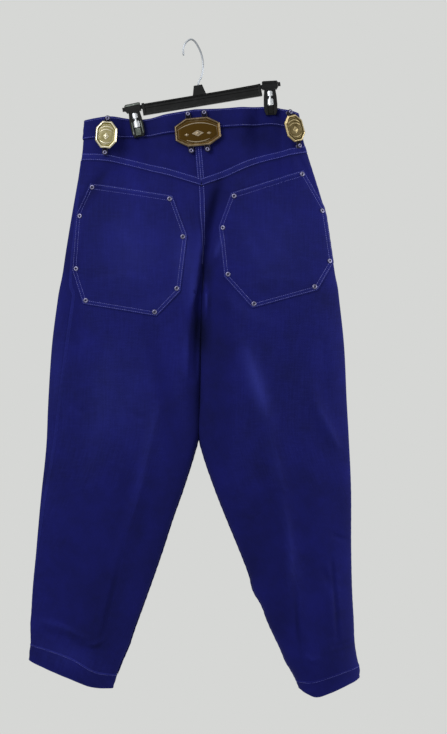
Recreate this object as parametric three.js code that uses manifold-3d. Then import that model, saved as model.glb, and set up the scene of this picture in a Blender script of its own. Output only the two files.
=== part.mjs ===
// Baggy jeans hung by the waist from a clip hanger. Millimetres, +Z up.
// The origin is the inside top of the hanger's hook. The back of the jeans faces -Y.
import * as THREE from 'three';
import { mergeVertices } from 'three/addons/utils/BufferGeometryUtils.js';
import Module from 'manifold-3d';

const wasm = await Module();
wasm.setup();

// Driving dimensions
const CLOTH = 1.4; // thickness of the denim wall
const SEAM = 0.3; // space between two pieces sewn together
const LAP = 0.5; // space between a panel and what is sewn on it
const SEAT = 0.3; // space between a hard piece and what it rests on
const ROUNDING = { outer: 0.5, inner: 0.4 }; // shares of a half's width over which its sides round off
const FOLD_FADE = 0.12; // share of a half's width over which the folds fade towards its sides
const FOLD_ENDS = 0.6; // below 1 a fold keeps more of its height near its ends
const EDGE_FULLNESS = { waist: 0.55, legs: 0.8 }; // below 1 a folded side is blunter than an ellipse
const PANEL_COLUMNS = 14;
const HANGER_TILT = THREE.MathUtils.degToRad(9.4);

// Distances down the garment, from the top edge of the waistband
const LEVEL = { waist: 0, band: 38, yoke: 105, hip: 190, crotch: 340, hemSeam: 1045, hemEdge: 1078 };
const YOKE_LEVELS = steps(LEVEL.band, LEVEL.yoke, 3);
const BACK_LEVELS = [...steps(LEVEL.yoke, 275, 5), 300, 322, ...steps(LEVEL.crotch, LEVEL.hemSeam, 21)];
const FRONT_LEVELS = [...YOKE_LEVELS.slice(0, -1), ...BACK_LEVELS];

// One row for each section of a half: where it is along the garment, its inner and outer end, its
// half depth, how far its inner end is closed into a leg, and how far the row line lies above the
// straight line between its ends at a quarter, half and three quarters of its width.
const SECTION_COLUMNS = ['at', 'xIn', 'zIn', 'xOut', 'zOut', 'depth', 'close', 'q1', 'q2', 'q3'];
const QUARTERS = [0, 0.25, 0.5, 0.75, 1];
const LEFT_SECTIONS = table(SECTION_COLUMNS, [
  [LEVEL.waist, 6, -135, -203, -154, 20, 0, -4, -7, 2],
  [LEVEL.band, 10, -174, -206, -190, 22, 0, -3, -4, -1],
  [LEVEL.yoke, 19, -279, -210, -228, 26, 0, 5, 8, 8],
  [LEVEL.hip, 21, -332, -228, -332, 29, 0, 0, 0, 0],
  [255, 23, -399, -239, -399, 31, 0, 0, 0, 0],
  [300, 22, -446, -246, -446, 32, 0.15, 0, 0, 0],
  [325, 20.5, -470, -251, -470, 32, 0.45, 0, 0, 0],
  [LEVEL.crotch, 18.6, -486, -254, -486, 32, 1, 0, 0, 0],
  [435, 16, -580, -266, -580, 32, 1, 0, 0, 0],
  [540, 13.5, -684, -273, -684, 31, 1, 0, 0, 0],
  [610, 10.5, -756, -277, -756, 30, 1, 0, 0, 0],
  [700, -15, -846, -285, -846, 29, 1, 0, 0, 0],
  [830, -63, -988, -295, -960, 27, 1, 0, 0, 0],
  [935, -104, -1102, -303, -1060, 24, 1, 0, 0, 0],
  [LEVEL.hemSeam, -143, -1205, -306, -1147, 21, 1, -6, 3, 4],
  [LEVEL.hemEdge, -151, -1231, -309, -1178, 20, 1, -8, -6, -3],
]);
const RIGHT_SECTIONS = table(SECTION_COLUMNS, [
  [LEVEL.waist, 6, -135, 201, -140, 20, 0, 3, 8, 11],
  [LEVEL.band, 10, -174, 208, -176, 22, 0, 5, 9, 13],
  [LEVEL.yoke, 19, -279, 218, -214, 26, 0, 2, 8, 5],
  [LEVEL.hip, 21, -332, 254, -332, 29, 0, 0, 0, 0],
  [255, 23, -399, 265, -399, 31, 0, 0, 0, 0],
  [300, 22, -446, 272, -446, 32, 0.15, 0, 0, 0],
  [325, 20.5, -470, 277, -470, 32, 0.45, 0, 0, 0],
  [LEVEL.crotch, 19.4, -486, 279, -486, 32, 1, 0, 0, 0],
  [435, 18.5, -580, 289, -580, 32, 1, 0, 0, 0],
  [540, 16.5, -684, 294, -684, 31, 1, 0, 0, 0],
  [610, 15.2, -756, 298, -756, 30, 1, 0, 0, 0],
  [700, 42, -846, 302, -846, 29, 1, 0, 0, 0],
  [830, 99, -988, 302, -965, 28, 1, 0, 0, 0],
  [935, 143, -1102, 305, -1070, 31, 1, 0, 0, 0],
  [LEVEL.hemSeam, 197, -1214, 315, -1186, 37, 1, -6, -4, -1],
  [LEVEL.hemEdge, 204, -1230, 317, -1210, 40, 1, -16, -13, -6],
]);

// One row for each large fold: its face, three points along it, its height and its half width
const FOLDS = table(['face', 'x1', 'z1', 'x2', 'z2', 'x3', 'z3', 'height', 'width'], [
  ['back', -55, -684, -112, -900, -169, -1127, 4, 16],
  ['back', 101, -583, 160, -800, 205, -1153, 4, 16],
  ['back', 61, -289, 40, -365, 27, -437, -7, 18],
  ['back', 215, -640, 245, -715, 281, -779, 3.5, 14],
  ['back', 262, -1007, 265, -1065, 268, -1127, 3, 12],
  ['front', -60, -600, -112, -880, -165, -1120, 4, 16],
  ['front', 105, -600, 158, -820, 203, -1140, 4, 16],
  ['front', 5, -410, -60, -375, -130, -352, 3.5, 14],
  ['front', 42, -412, 100, -378, 175, -350, 3.5, 14],
  ['front', -130, -700, -175, -735, -240, -750, 3, 14],
]);

// Where the hanger's clips press the waistband flat
const PINCH = { halfDepth: 2.6, margin: 3, full: LEVEL.band, gone: 200 };
const LEFT_PINCH = { x: -104.5, halfWidth: 19, fall: 42 };
const RIGHT_PINCH = { x: 149, halfWidth: 19, fall: 23 };

// Where the side seam runs, as a turn round each half: under 0.5 it lies on the back
const SEAM_LEVELS = [LEVEL.waist, LEVEL.band, LEVEL.yoke, LEVEL.hip, 255, 435, 610, 830, LEVEL.hemSeam];
const LEFT_SIDE_SEAM = [0.5, 0.5, 0.47, 0.41, 0.392, 0.394, 0.42, 0.46, 0.5];
const RIGHT_SIDE_SEAM = [0.5, 0.5, 0.51, 0.53, 0.54, 0.54, 0.53, 0.51, 0.5];

const HALVES = {
  left: {
    name: 'left', sections: LEFT_SECTIONS, sideSeam: LEFT_SIDE_SEAM, pinch: LEFT_PINCH, turn: 1,
  },
  right: {
    name: 'right', sections: RIGHT_SECTIONS, sideSeam: RIGHT_SIDE_SEAM, pinch: RIGHT_PINCH, turn: -1,
  },
};

// Back pockets: corners of the patch, clockwise in the photo's view from the top outer corner
const LEFT_POCKET = [[-192, -274], [-36, -298], [-8, -374], [-21, -479], [-66, -526], [-205, -503],
  [-226, -439], [-218, -331]];
const RIGHT_POCKET = [[211, -249], [74, -293], [51, -357], [61, -452], [114, -511], [237, -477],
  [268, -424], [253, -321]];
const POCKET_RIVET_INSET = 9;

const RIVET = { radius: 4.8, height: 2.1, sides: 9 };
const BUTTON = { radius: 8.5, shank: 3, height: 5, x: -8, z: -158 };
const FLY = { width: 38, length: 150, past: 20 };
const CUTTER = { near: 1, far: 80 }; // distances from the middle plane between which patches are cut
const UNDERLAP = { turn: 0.062, drop: 2, start: 4, ramp: 26, columns: 3 };
const HEM = { proud: 0.2, thickness: 2.6 };

// Metal plates on the waistband, as octagons with riveted lugs. Each is placed by the middle of
// its face, its lean in the plane of the cloth, and its turn round the side of the waist.
const PLATE_SHAPES = {
  wide: {
    halfWidth: 43, halfHeight: 27, topHalf: 20.5, sideHalf: 13.5,
    lugs: [[-15.3, 35.5], [15.3, 35.5], [-15.3, -34.5], [15.3, -34.5]],
  },
  tall: { halfWidth: 20, halfHeight: 25.7, topHalf: 8.7, sideHalf: 12.4, lugs: [[0, 31.5], [0, -34]] },
};
const PLATES = table(['name', 'half', 'shape', 'x', 'z', 'lean', 'turn', 'standoff'], [
  ['plate_centre', 'right', 'wide', 10.5, -179, 5.3, 0, 6],
  ['plate_left', 'left', 'tall', -161, -184, -4.2, -8, 6.5],
  ['plate_right', 'right', 'tall', 190, -170, 13, 16, 8],
]);
const PLATE = {
  thickness: 1.8, raised: 1.4, rimFoot: 0.2, rimOuter: 1.8, rimInner: 3.2, fieldInset: 5.4,
  fieldHeight: 0.4, lozenge: 0.34, lozengeHeight: 1.1, lugRadius: 5.2, lugRoot: 2, holeRadius: 2.5,
};
const CORNER_INSET = 0.45; // how far an octagon's corners move along an edge for each mm of inset
const SEARCH = {
  levelStep: 14, widthStep: 0.06, edge: 0.003, rounds: 8, levelNudge: 0.5, widthNudge: 0.002,
};
const POST = { radius: 2.1, flange: 3.8, flangeHeight: 1, head: 3.8, headHeight: 1.5, sides: 8 };

// Hanger, in its own frame before it is tilted: x along the bar, z up, the hook's inside top at 0
const BAR = {
  halfLength: 152, webHalfLength: 114.5, top: -105, bottom: -126.5, railBottom: -113.5,
  stopHalf: 2.5, stopRise: 1.5,
};
const BAR_DEPTH = { web: 3, rail: 5, flange: 9, flangeHeight: 3 };
const NECK = { x: -3, top: -87, topHalf: 8, baseHalf: 13, depth: 9 };
const HOOK_WIRE = 3.4;
const HOOK_POINTS = [[-2, -86.6], [-1, -82], [6, -72], [11.5, -58], [13.8, -42], [12.8, -27], [9.4, -14],
  [4.6, -3.4], [-1.5, 1.5], [-9, -0.6], [-15.5, -7], [-19.5, -16], [-20.5, -27]];
const CLIPS = [
  { name: 'clip_left', along: -131, lean: -2.6 },
  { name: 'clip_right', along: 131, lean: 6.4 },
];
const CLIP = {
  pivot: -109.5, sleeveHalf: 14, sleeveHeight: 15, sleeveDepth: 12, holeHeight: 12, holeDepth: 6,
  jawHalf: 10, jawOuter: 7, jawEnd: -56.5, springHalf: 6.5, springTop: -13, springEnd: -38,
  springThick: 1,
};

const MATERIALS = {
  denim: { color: 0x1b1f5c, roughness: 0.9, metalness: 0 },
  brass: { color: 0x9b8a5a, roughness: 0.35, metalness: 1 },
  bronze: { color: 0x4a3822, roughness: 0.4, metalness: 1 },
  rivet: { color: 0x6d6558, roughness: 0.45, metalness: 1 },
  plastic: { color: 0x121212, roughness: 0.35, metalness: 0 },
  steel: { color: 0xc8ccd0, roughness: 0.2, metalness: 1 },
};

const part = new THREE.Group();

/** Turn rows of values into objects with named columns. */
function table(columns, rows) {
  return rows.map((row) => Object.fromEntries(columns.map((column, i) => [column, row[i]])));
}

const mix = (a, b, t) => a + (b - a) * t;

/** Even steps from one value to another, both counted in. */
function steps(from, to, count) {
  return Array.from({ length: count + 1 }, (_, i) => from + ((to - from) * i) / count);
}

function smoothStep(low, high, value) {
  return THREE.MathUtils.smoothstep(value, low, high);
}

/** Cubic through the values, with each slope taken from the neighbours on both sides. */
function spline(at, values, t) {
  const last = at.length - 1;
  let i = 0;
  while (i < last - 1 && t > at[i + 1]) i += 1;
  const slope = (k) => {
    const a = Math.max(k - 1, 0);
    const b = Math.min(k + 1, last);
    return (values[b] - values[a]) / (at[b] - at[a]);
  };
  const span = at[i + 1] - at[i];
  const s = (t - at[i]) / span;
  const rise = values[i + 1] - values[i];
  const m0 = slope(i) * span;
  const m1 = slope(i + 1) * span;
  return values[i] + s * (m0 + s * (3 * rise - 2 * m0 - m1 + s * (m0 + m1 - 2 * rise)));
}

/** The section of a half at a distance down the garment. */
function sectionAt(half, level) {
  const at = half.sections.map((row) => row.at);
  const read = (column) => spline(at, half.sections.map((row) => row[column]), level);
  const section = Object.fromEntries(SECTION_COLUMNS.map((column) => [column, read(column)]));
  section.close = THREE.MathUtils.clamp(section.close, 0, 1);
  return section;
}

/** Height that the folds of one face add at a place. */
function foldHeight(face, x, z) {
  let height = 0;
  for (const fold of FOLDS) {
    if (fold.face !== face) continue;
    const path = [[fold.x1, fold.z1], [fold.x2, fold.z2], [fold.x3, fold.z3]];
    let best = Infinity;
    let along = 0;
    for (let k = 0; k < 2; k += 1) {
      const dx = path[k + 1][0] - path[k][0];
      const dz = path[k + 1][1] - path[k][1];
      const share = ((x - path[k][0]) * dx + (z - path[k][1]) * dz) / (dx * dx + dz * dz);
      const t = THREE.MathUtils.clamp(share, 0, 1);
      const distance = Math.hypot(x - path[k][0] - t * dx, z - path[k][1] - t * dz);
      if (distance < best) {
        best = distance;
        along = (k + t) / 2;
      }
    }
    const ends = Math.sin(Math.PI * along) ** FOLD_ENDS;
    height += fold.height * ends * Math.exp(-((best / fold.width) ** 2));
  }
  return height;
}

/** Height of a quarter circle over its base, level past its end. */
function roundOff(share) {
  const short = 1 - Math.min(1, Math.max(0, share));
  return Math.sqrt(1 - short * short);
}

/** How firmly the clips press at a place, from 0 to 1. */
function pinchAt(x, level) {
  const down = 1 - smoothStep(PINCH.full, PINCH.gone, level);
  let press = 0;
  for (const place of [LEFT_PINCH, RIGHT_PINCH]) {
    const away = Math.abs(x - place.x) - place.halfWidth;
    press = Math.max(press, 1 - smoothStep(0, place.fall, away));
  }
  return press * down;
}

/**
 * A point of the outer face of one half. The turn runs from 0 at the centre back or inseam, over
 * 0.5 at the side, to 1 at the centre front or inseam.
 */
function clothPoint(half, turn, level) {
  const section = sectionAt(half, level);
  const front = turn > 0.5;
  const u = Math.max(0, Math.min(1, front ? 2 - 2 * turn : 2 * turn));
  const across = mix(Math.sin((u * Math.PI) / 2), (1 - Math.cos(Math.PI * u)) / 2, section.close);
  const fullness = mix(EDGE_FULLNESS.waist, EDGE_FULLNESS.legs, smoothStep(LEVEL.band, LEVEL.hip, level));
  const outerReach = roundOff((1 - across) / ROUNDING.outer) ** fullness;
  const innerReach = roundOff(across / ROUNDING.inner) ** fullness;
  const reach = outerReach * mix(1, innerReach, section.close);
  const lift = spline(QUARTERS, [0, section.q1, section.q2, section.q3, 0], across);
  const x = mix(section.xIn, section.xOut, across);
  const z = mix(section.zIn, section.zOut, across) + lift;
  const outerFade = smoothStep(0, FOLD_FADE, 1 - across);
  const innerFade = mix(1, smoothStep(0, FOLD_FADE, across), section.close);
  const fold = foldHeight(front ? 'front' : 'back', x, z) * outerFade * innerFade;
  const free = section.depth * reach + fold;
  const depth = mix(free, Math.min(free, PINCH.halfDepth), pinchAt(x, level));
  return new THREE.Vector3(x, front ? depth : -depth, z);
}

/** Outward direction of the cloth at a place. */
function clothNormal(half, turn, level) {
  const turnStep = 0.004;
  const levelStep = 1.5;
  const low = Math.max(0, turn - turnStep);
  const high = Math.min(1, turn + turnStep);
  const above = Math.max(0, level - levelStep);
  const below = Math.min(LEVEL.hemEdge, level + levelStep);
  const round = clothPoint(half, high, level).sub(clothPoint(half, low, level));
  const down = clothPoint(half, turn, below).sub(clothPoint(half, turn, above));
  return round.cross(down).normalize().multiplyScalar(half.turn);
}

/** Step of a parameter that moves a point by the given distance. */
function stepFor(distance, from, to, step) {
  return (distance * step) / Math.max(from.distanceTo(to), 1e-6);
}

function turnStepFor(half, turn, level, distance) {
  const step = 0.01;
  const other = turn > 0.5 ? turn - step : turn + step;
  return stepFor(distance, clothPoint(half, turn, level), clothPoint(half, other, level), step);
}

/** Closed wall from a grid of outer and inner points. A ring joins its last column to its first. */
function wallGeometry(outer, inner, ring = false) {
  const rows = outer.length;
  const columns = outer[0].length;
  const positions = [];
  const index = [];
  for (const layer of [outer, inner]) {
    for (const row of layer) for (const p of row) positions.push(p.x, p.y, p.z);
  }
  const at = (layer, j, i) => layer * rows * columns + j * columns + (i % columns);
  const quad = (a, b, c, d) => index.push(a, b, c, a, c, d);
  const lastColumn = ring ? columns : columns - 1;
  for (let j = 0; j < rows - 1; j += 1) {
    for (let i = 0; i < lastColumn; i += 1) {
      quad(at(0, j, i), at(0, j, i + 1), at(0, j + 1, i + 1), at(0, j + 1, i));
      quad(at(1, j, i), at(1, j + 1, i), at(1, j + 1, i + 1), at(1, j, i + 1));
    }
  }
  const end = rows - 1;
  for (let i = 0; i < lastColumn; i += 1) {
    quad(at(0, 0, i), at(1, 0, i), at(1, 0, i + 1), at(0, 0, i + 1));
    quad(at(0, end, i), at(0, end, i + 1), at(1, end, i + 1), at(1, end, i));
  }
  if (!ring) {
    const side = columns - 1;
    for (let j = 0; j < rows - 1; j += 1) {
      quad(at(0, j, 0), at(0, j + 1, 0), at(1, j + 1, 0), at(1, j, 0));
      quad(at(0, j, side), at(1, j, side), at(1, j + 1, side), at(0, j + 1, side));
    }
  }
  return facingOut(positions, index);
}

/** Indexed geometry whose faces are turned outward. */
function facingOut(positions, index) {
  const corner = (k) => new THREE.Vector3().fromArray(positions, index[k] * 3);
  let volume = 0;
  for (let k = 0; k < index.length; k += 3) {
    volume += corner(k).dot(corner(k + 1).cross(corner(k + 2)));
  }
  if (volume < 0) {
    for (let k = 0; k < index.length; k += 3) [index[k], index[k + 1]] = [index[k + 1], index[k]];
  }
  const geometry = new THREE.BufferGeometry();
  geometry.setAttribute('position', new THREE.Float32BufferAttribute(positions, 3));
  geometry.setIndex(index);
  return geometry;
}

/** Outer and inner points of a stretch of cloth, moved out by a lift. */
function clothGrid(places, thickness, lift = 0) {
  const outer = [];
  const inner = [];
  for (const row of places) {
    const outerRow = [];
    const innerRow = [];
    for (const { half, turn, level, extra = 0 } of row) {
      const point = clothPoint(half, turn, level);
      const normal = clothNormal(half, turn, level);
      outerRow.push(point.clone().addScaledVector(normal, lift + extra));
      innerRow.push(point.clone().addScaledVector(normal, lift + extra - thickness));
    }
    outer.push(outerRow);
    inner.push(innerRow);
  }
  return { outer, inner };
}

/** Turn at which the side seam of a half runs at a level. */
function sideTurn(half, level) {
  return spline(SEAM_LEVELS, half.sideSeam, level);
}

/** Shares of a panel's width where its columns stand: even, with two moved to the clip's edges. */
function columnShares(half) {
  const shares = Array.from({ length: PANEL_COLUMNS + 1 }, (_, i) => i / PANEL_COLUMNS);
  const { xIn, xOut } = sectionAt(half, LEVEL.band / 2);
  const reach = half.pinch.halfWidth - PINCH.margin;
  for (const side of [-1, 1]) {
    const across = (half.pinch.x + side * reach - xIn) / (xOut - xIn);
    const share = Math.asin(across) / (Math.PI / 2);
    shares[Math.round(share * PANEL_COLUMNS)] = share;
  }
  return shares;
}

/** Turns of a face's columns at a level, from its centre or inseam to its side seam. */
function columnTurns(half, front, level, inset) {
  const centre = front ? 1 : 0;
  const side = sideTurn(half, level);
  const inward = front ? -1 : 1;
  const from = centre + inward * turnStepFor(half, centre, level, inset);
  const to = side - inward * turnStepFor(half, side, level, inset);
  return columnShares(half).map((share) => mix(from, to, share));
}

/** Panel of the back or front face with a row at each level, drawn in by half a seam all round. */
function panelGeometry(half, front, levels, lift = 0) {
  const places = levels.map((at, j) => {
    const inset = (j === 0 ? SEAM / 2 : 0) - (j === levels.length - 1 ? SEAM / 2 : 0);
    const level = at + inset;
    return columnTurns(half, front, level, SEAM / 2).map((turn) => ({ half, turn, level }));
  });
  const { outer, inner } = clothGrid(places, CLOTH, lift);
  return wallGeometry(outer, inner);
}

/** Turn and level of the back or front face of a half at a place in the photo's plane. */
function findPlace(half, x, z, front = false) {
  const { levelStep, widthStep, edge, rounds, levelNudge, widthNudge } = SEARCH;
  const face = (u) => (front ? 1 - u / 2 : u / 2);
  let best = { u: 0.5, level: 0, error: Infinity };
  for (let level = 0; level <= LEVEL.hemEdge; level += levelStep) {
    for (let u = edge; u < 1; u += widthStep) {
      const p = clothPoint(half, face(u), level);
      const error = Math.hypot(p.x - x, p.z - z);
      if (error < best.error) best = { u, level, error };
    }
  }
  let { u, level } = best;
  for (let k = 0; k < rounds; k += 1) {
    const p = clothPoint(half, face(u), level);
    const side = clothPoint(half, face(u - widthNudge), level);
    const up = clothPoint(half, face(u), level + levelNudge);
    const a = (p.x - side.x) / widthNudge;
    const b = (up.x - p.x) / levelNudge;
    const c = (p.z - side.z) / widthNudge;
    const d = (up.z - p.z) / levelNudge;
    const determinant = a * d - b * c;
    u = THREE.MathUtils.clamp(u + (d * (x - p.x) - b * (z - p.z)) / determinant, edge, 1 - edge);
    level += (a * (z - p.z) - c * (x - p.x)) / determinant;
  }
  return { half, turn: face(u), level };
}

function addMesh(name, geometry, material, parent = part) {
  const mesh = new THREE.Mesh(geometry, new THREE.MeshStandardMaterial(MATERIALS[material]));
  mesh.name = name;
  parent.add(mesh);
  return mesh;
}

/** Closed solid of manifold-3d made from a geometry of three.js. */
function solidOf(geometry) {
  const bare = geometry.clone();
  bare.deleteAttribute('normal');
  bare.deleteAttribute('uv');
  const merged = mergeVertices(bare, 1e-4);
  const vertProperties = Float32Array.from(merged.attributes.position.array);
  const triVerts = Uint32Array.from(merged.index.array);
  return new wasm.Manifold(new wasm.Mesh({ numProp: 3, vertProperties, triVerts }));
}

function geometryOf(solid) {
  const mesh = solid.getMesh();
  const geometry = new THREE.BufferGeometry();
  const positions = new THREE.BufferAttribute(Float32Array.from(mesh.vertProperties), 3);
  geometry.setAttribute('position', positions);
  geometry.setIndex(new THREE.BufferAttribute(Uint32Array.from(mesh.triVerts), 1));
  return geometry;
}

/** Slab with the outline in x and y, from one z to another. */
function slab(shape, from, to, curveSegments = 4) {
  const options = { depth: to - from, bevelEnabled: false, curveSegments };
  return new THREE.ExtrudeGeometry(shape, options).translate(0, 0, from);
}

function box(xFrom, xTo, yFrom, yTo, zFrom, zTo) {
  const geometry = new THREE.BoxGeometry(xTo - xFrom, yTo - yFrom, zTo - zFrom);
  return geometry.translate((xFrom + xTo) / 2, (yFrom + yTo) / 2, (zFrom + zTo) / 2);
}

function addPanels() {
  for (const half of Object.values(HALVES)) {
    addMesh(`yoke_${half.name}`, panelGeometry(half, false, YOKE_LEVELS), 'denim');
    addMesh(`back_${half.name}`, panelGeometry(half, false, BACK_LEVELS), 'denim');
    addMesh(`front_${half.name}`, panelGeometry(half, true, FRONT_LEVELS), 'denim');
  }
}

/** The turned-up hem, a ring of doubled cloth at the foot of a leg. */
function addHems() {
  for (const half of Object.values(HALVES)) {
    const places = steps(LEVEL.hemSeam + SEAM / 2, LEVEL.hemEdge, 2).map((level) => {
      const back = columnTurns(half, false, level, 0);
      const front = columnTurns(half, true, level, 0).reverse();
      return [...back, ...front.slice(1, -1)].map((turn) => ({ half, turn, level }));
    });
    const { outer, inner } = clothGrid(places, HEM.thickness, HEM.proud);
    addMesh(`hem_${half.name}`, wallGeometry(outer, inner, true), 'denim');
  }
}

/** Waistband: a strip from its underlap at the front, round the right side, back and left side. */
function addWaistband() {
  const centre = LEFT_SECTIONS[0].xIn;
  const frontTurns = (half) => columnShares(half).map((share) => 1 - share / 2);
  const backTurns = (half) => columnShares(half).map((share) => share / 2);
  const rightTurns = [...frontTurns(HALVES.right), ...backTurns(HALVES.right).reverse().slice(1)];
  const leftTurns = [...backTurns(HALVES.left), ...frontTurns(HALVES.left).reverse().slice(1)];
  const places = [];
  for (const level of steps(LEVEL.waist, LEVEL.band - SEAM / 2, 2)) {
    const row = [];
    for (let i = UNDERLAP.columns; i >= 1; i -= 1) {
      const turn = 1 - (i / UNDERLAP.columns) * UNDERLAP.turn;
      row.push({ half: HALVES.left, turn, level, extra: -UNDERLAP.drop });
    }
    for (const turn of rightTurns) {
      const past = clothPoint(HALVES.right, turn, level).x - centre - UNDERLAP.start;
      const under = turn > 0.5 ? 1 - smoothStep(0, UNDERLAP.ramp, past) : 0;
      row.push({ half: HALVES.right, turn, level, extra: -UNDERLAP.drop * under });
    }
    for (const turn of leftTurns.slice(1)) row.push({ half: HALVES.left, turn, level });
    places.push(row);
  }
  const { outer, inner } = clothGrid(places, CLOTH);
  addMesh('waistband', wallGeometry(outer, inner), 'denim');
}

/** Solid of the outlined part of a panel's copy that is moved out by a lap and a cloth. */
function patchSolid(half, front, shape) {
  const copy = panelGeometry(half, front, front ? FRONT_LEVELS : BACK_LEVELS, LAP + CLOTH);
  const cutter = slab(shape, CUTTER.near, CUTTER.far, 6).rotateX(Math.PI / 2);
  if (front) cutter.translate(0, CUTTER.near + CUTTER.far, 0);
  return geometryOf(solidOf(copy).intersect(solidOf(cutter)));
}

/** Fly flap along the centre front, rounded at its foot. */
function addFly() {
  const half = HALVES.left;
  const top = clothPoint(half, 0.97, LEVEL.band + 2).z;
  const foot = top - FLY.length;
  const centre = clothPoint(half, 1, LEVEL.yoke).x;
  const shape = new THREE.Shape();
  shape.moveTo(centre + FLY.past, top);
  shape.lineTo(centre - FLY.width, top);
  shape.lineTo(centre - FLY.width, foot + FLY.width);
  shape.quadraticCurveTo(centre - FLY.width, foot, centre + FLY.past, foot);
  addMesh('fly_flap', patchSolid(half, true, shape), 'denim');
}

/** Eight-cornered patch on a back panel, with a rivet inside each corner. */
function addPocket(half, corners) {
  const pocket = addMesh(`pocket_${half.name}`, patchSolid(half, false, outline(corners)), 'denim');
  const average = (k) => corners.reduce((sum, corner) => sum + corner[k], 0) / corners.length;
  const middle = [average(0), average(1)];
  corners.forEach((corner, i) => {
    const share = POCKET_RIVET_INSET / Math.hypot(middle[0] - corner[0], middle[1] - corner[1]);
    const place = findPlace(half, mix(corner[0], middle[0], share), mix(corner[1], middle[1], share));
    addRivet(`pocket_${half.name}_rivet_${i + 1}`, restOn([pocket], place, RIVET.radius));
  });
}

/**
 * Distance from a point along a direction to the first of some meshes, over a disc of a radius
 * round the point.
 */
function reachTo(targets, point, direction, radius) {
  const caster = new THREE.Raycaster();
  const side = new THREE.Vector3(0, 0, 1).cross(direction).normalize();
  const over = side.clone().cross(direction);
  const rim = 8;
  let nearest = Infinity;
  for (let i = 0; i <= rim; i += 1) {
    const angle = (i / rim) * 2 * Math.PI;
    const reach = i === rim ? 0 : radius;
    const start = point.clone().addScaledVector(side, reach * Math.cos(angle));
    start.addScaledVector(over, reach * Math.sin(angle));
    caster.set(start, direction);
    for (const hit of caster.intersectObjects(targets)) nearest = Math.min(nearest, hit.distance);
  }
  return nearest;
}

/** Seat for a round foot on some meshes, above a place on the cloth. */
function restOn(targets, place, radius) {
  const away = 30;
  const normal = clothNormal(place.half, place.turn, place.level);
  const point = clothPoint(place.half, place.turn, place.level).addScaledVector(normal, away);
  const depth = reachTo(targets, point, normal.clone().negate(), radius);
  return { point: point.addScaledVector(normal, SEAT - depth), normal };
}

/** Place a mesh so that its own y axis points along the normal. */
function standOn(mesh, seat) {
  mesh.position.copy(seat.point);
  mesh.quaternion.setFromUnitVectors(new THREE.Vector3(0, 1, 0), seat.normal);
}

function addRivet(name, seat) {
  const { radius, height, sides } = RIVET;
  const profile = [[0, 0], [radius, 0], [radius, height * 0.35], [radius * 0.66, height], [0, height]];
  const geometry = new THREE.LatheGeometry(profile.map(([r, h]) => new THREE.Vector2(r, h)), sides);
  standOn(addMesh(name, geometry, 'rivet'), seat);
}

function addButton() {
  const { radius, height, shank } = BUTTON;
  const profile = [[0, 0], [shank, 0], [shank, 1.6], [radius, 2.2], [radius, 3.4],
    [radius * 0.72, height], [0, height]];
  const geometry = new THREE.LatheGeometry(profile.map(([r, h]) => new THREE.Vector2(r, h)), 14);
  const place = findPlace(HALVES.left, BUTTON.x, BUTTON.z, true);
  const band = part.getObjectByName('waistband');
  standOn(addMesh('waist_button', geometry, 'brass'), restOn([band], place, shank));
}

/** Octagon with its top edge, side edge and cut corners. */
function octagonPoints(shape, inset = 0) {
  const w = shape.halfWidth - inset;
  const h = shape.halfHeight - inset;
  const top = shape.topHalf - inset * CORNER_INSET;
  const side = shape.sideHalf - inset * CORNER_INSET;
  return [[w, -side], [w, side], [top, h], [-top, h], [-w, side], [-w, -side], [-top, -h], [top, -h]];
}

function outline(points) {
  return new THREE.Shape(points.map(([x, y]) => new THREE.Vector2(x, y)));
}

/** Raised octagon with sloping sides between two heights. */
function frustum(shape, insetLow, insetHigh, low, high) {
  const positions = [];
  for (const [inset, z] of [[insetLow, low], [insetHigh, high]]) {
    for (const [x, y] of octagonPoints(shape, inset)) positions.push(x, y, z);
  }
  const index = [];
  for (let i = 0; i < 8; i += 1) {
    const next = (i + 1) % 8;
    index.push(i, next, next + 8, i, next + 8, i + 8);
    if (i > 0 && i < 7) index.push(0, i + 1, i, 8, i + 8, i + 9);
  }
  return facingOut(positions, index);
}

/** Cast plate: a flat back with lugs, a sloping rim, a sunk field and a lozenge in its middle. */
function plateSolid(shape) {
  const { thickness, raised, lugRadius, holeRadius, fieldHeight, lozengeHeight } = PLATE;
  let solid = solidOf(slab(outline(octagonPoints(shape)), 0, thickness));
  for (const [x, y] of shape.lugs) {
    const end = new THREE.CylinderGeometry(lugRadius, lugRadius, thickness, 12).rotateX(Math.PI / 2);
    const root = Math.sign(y) * (shape.halfHeight - PLATE.lugRoot);
    const strap = box(x - lugRadius, x + lugRadius, Math.min(y, root), Math.max(y, root), 0, thickness);
    solid = solid.add(solidOf(end.translate(x, y, thickness / 2))).add(solidOf(strap));
  }
  const top = thickness + raised;
  const rim = frustum(shape, PLATE.rimFoot, PLATE.rimOuter, thickness - 0.3, top);
  const field = frustum(shape, PLATE.fieldInset, PLATE.rimInner, thickness + fieldHeight, top + 0.6);
  solid = solid.add(solidOf(rim)).subtract(solidOf(field));
  const wide = shape.halfWidth * PLATE.lozenge;
  const high = shape.halfHeight * PLATE.lozenge;
  const lozenge = outline([[wide, 0], [0, high], [-wide, 0], [0, -high]]);
  solid = solid.add(solidOf(slab(lozenge, thickness, thickness + lozengeHeight)));
  for (const [x, y] of shape.lugs) {
    const hole = new THREE.CylinderGeometry(holeRadius, holeRadius, thickness * 3, 12).rotateX(Math.PI / 2);
    solid = solid.subtract(solidOf(hole.translate(x, y, thickness / 2)));
  }
  return geometryOf(solid);
}

/** Right, up and outward directions of a plate that faces out from the cloth. */
function plateFrame(plate, normal) {
  const up = new THREE.Vector3(0, 0, 1);
  const turned = normal.clone().applyAxisAngle(up, THREE.MathUtils.degToRad(plate.turn));
  const level = up.clone().cross(turned).normalize();
  const right = level.applyAxisAngle(turned, THREE.MathUtils.degToRad(plate.lean));
  return { right, up: turned.clone().cross(right), out: turned };
}

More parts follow.
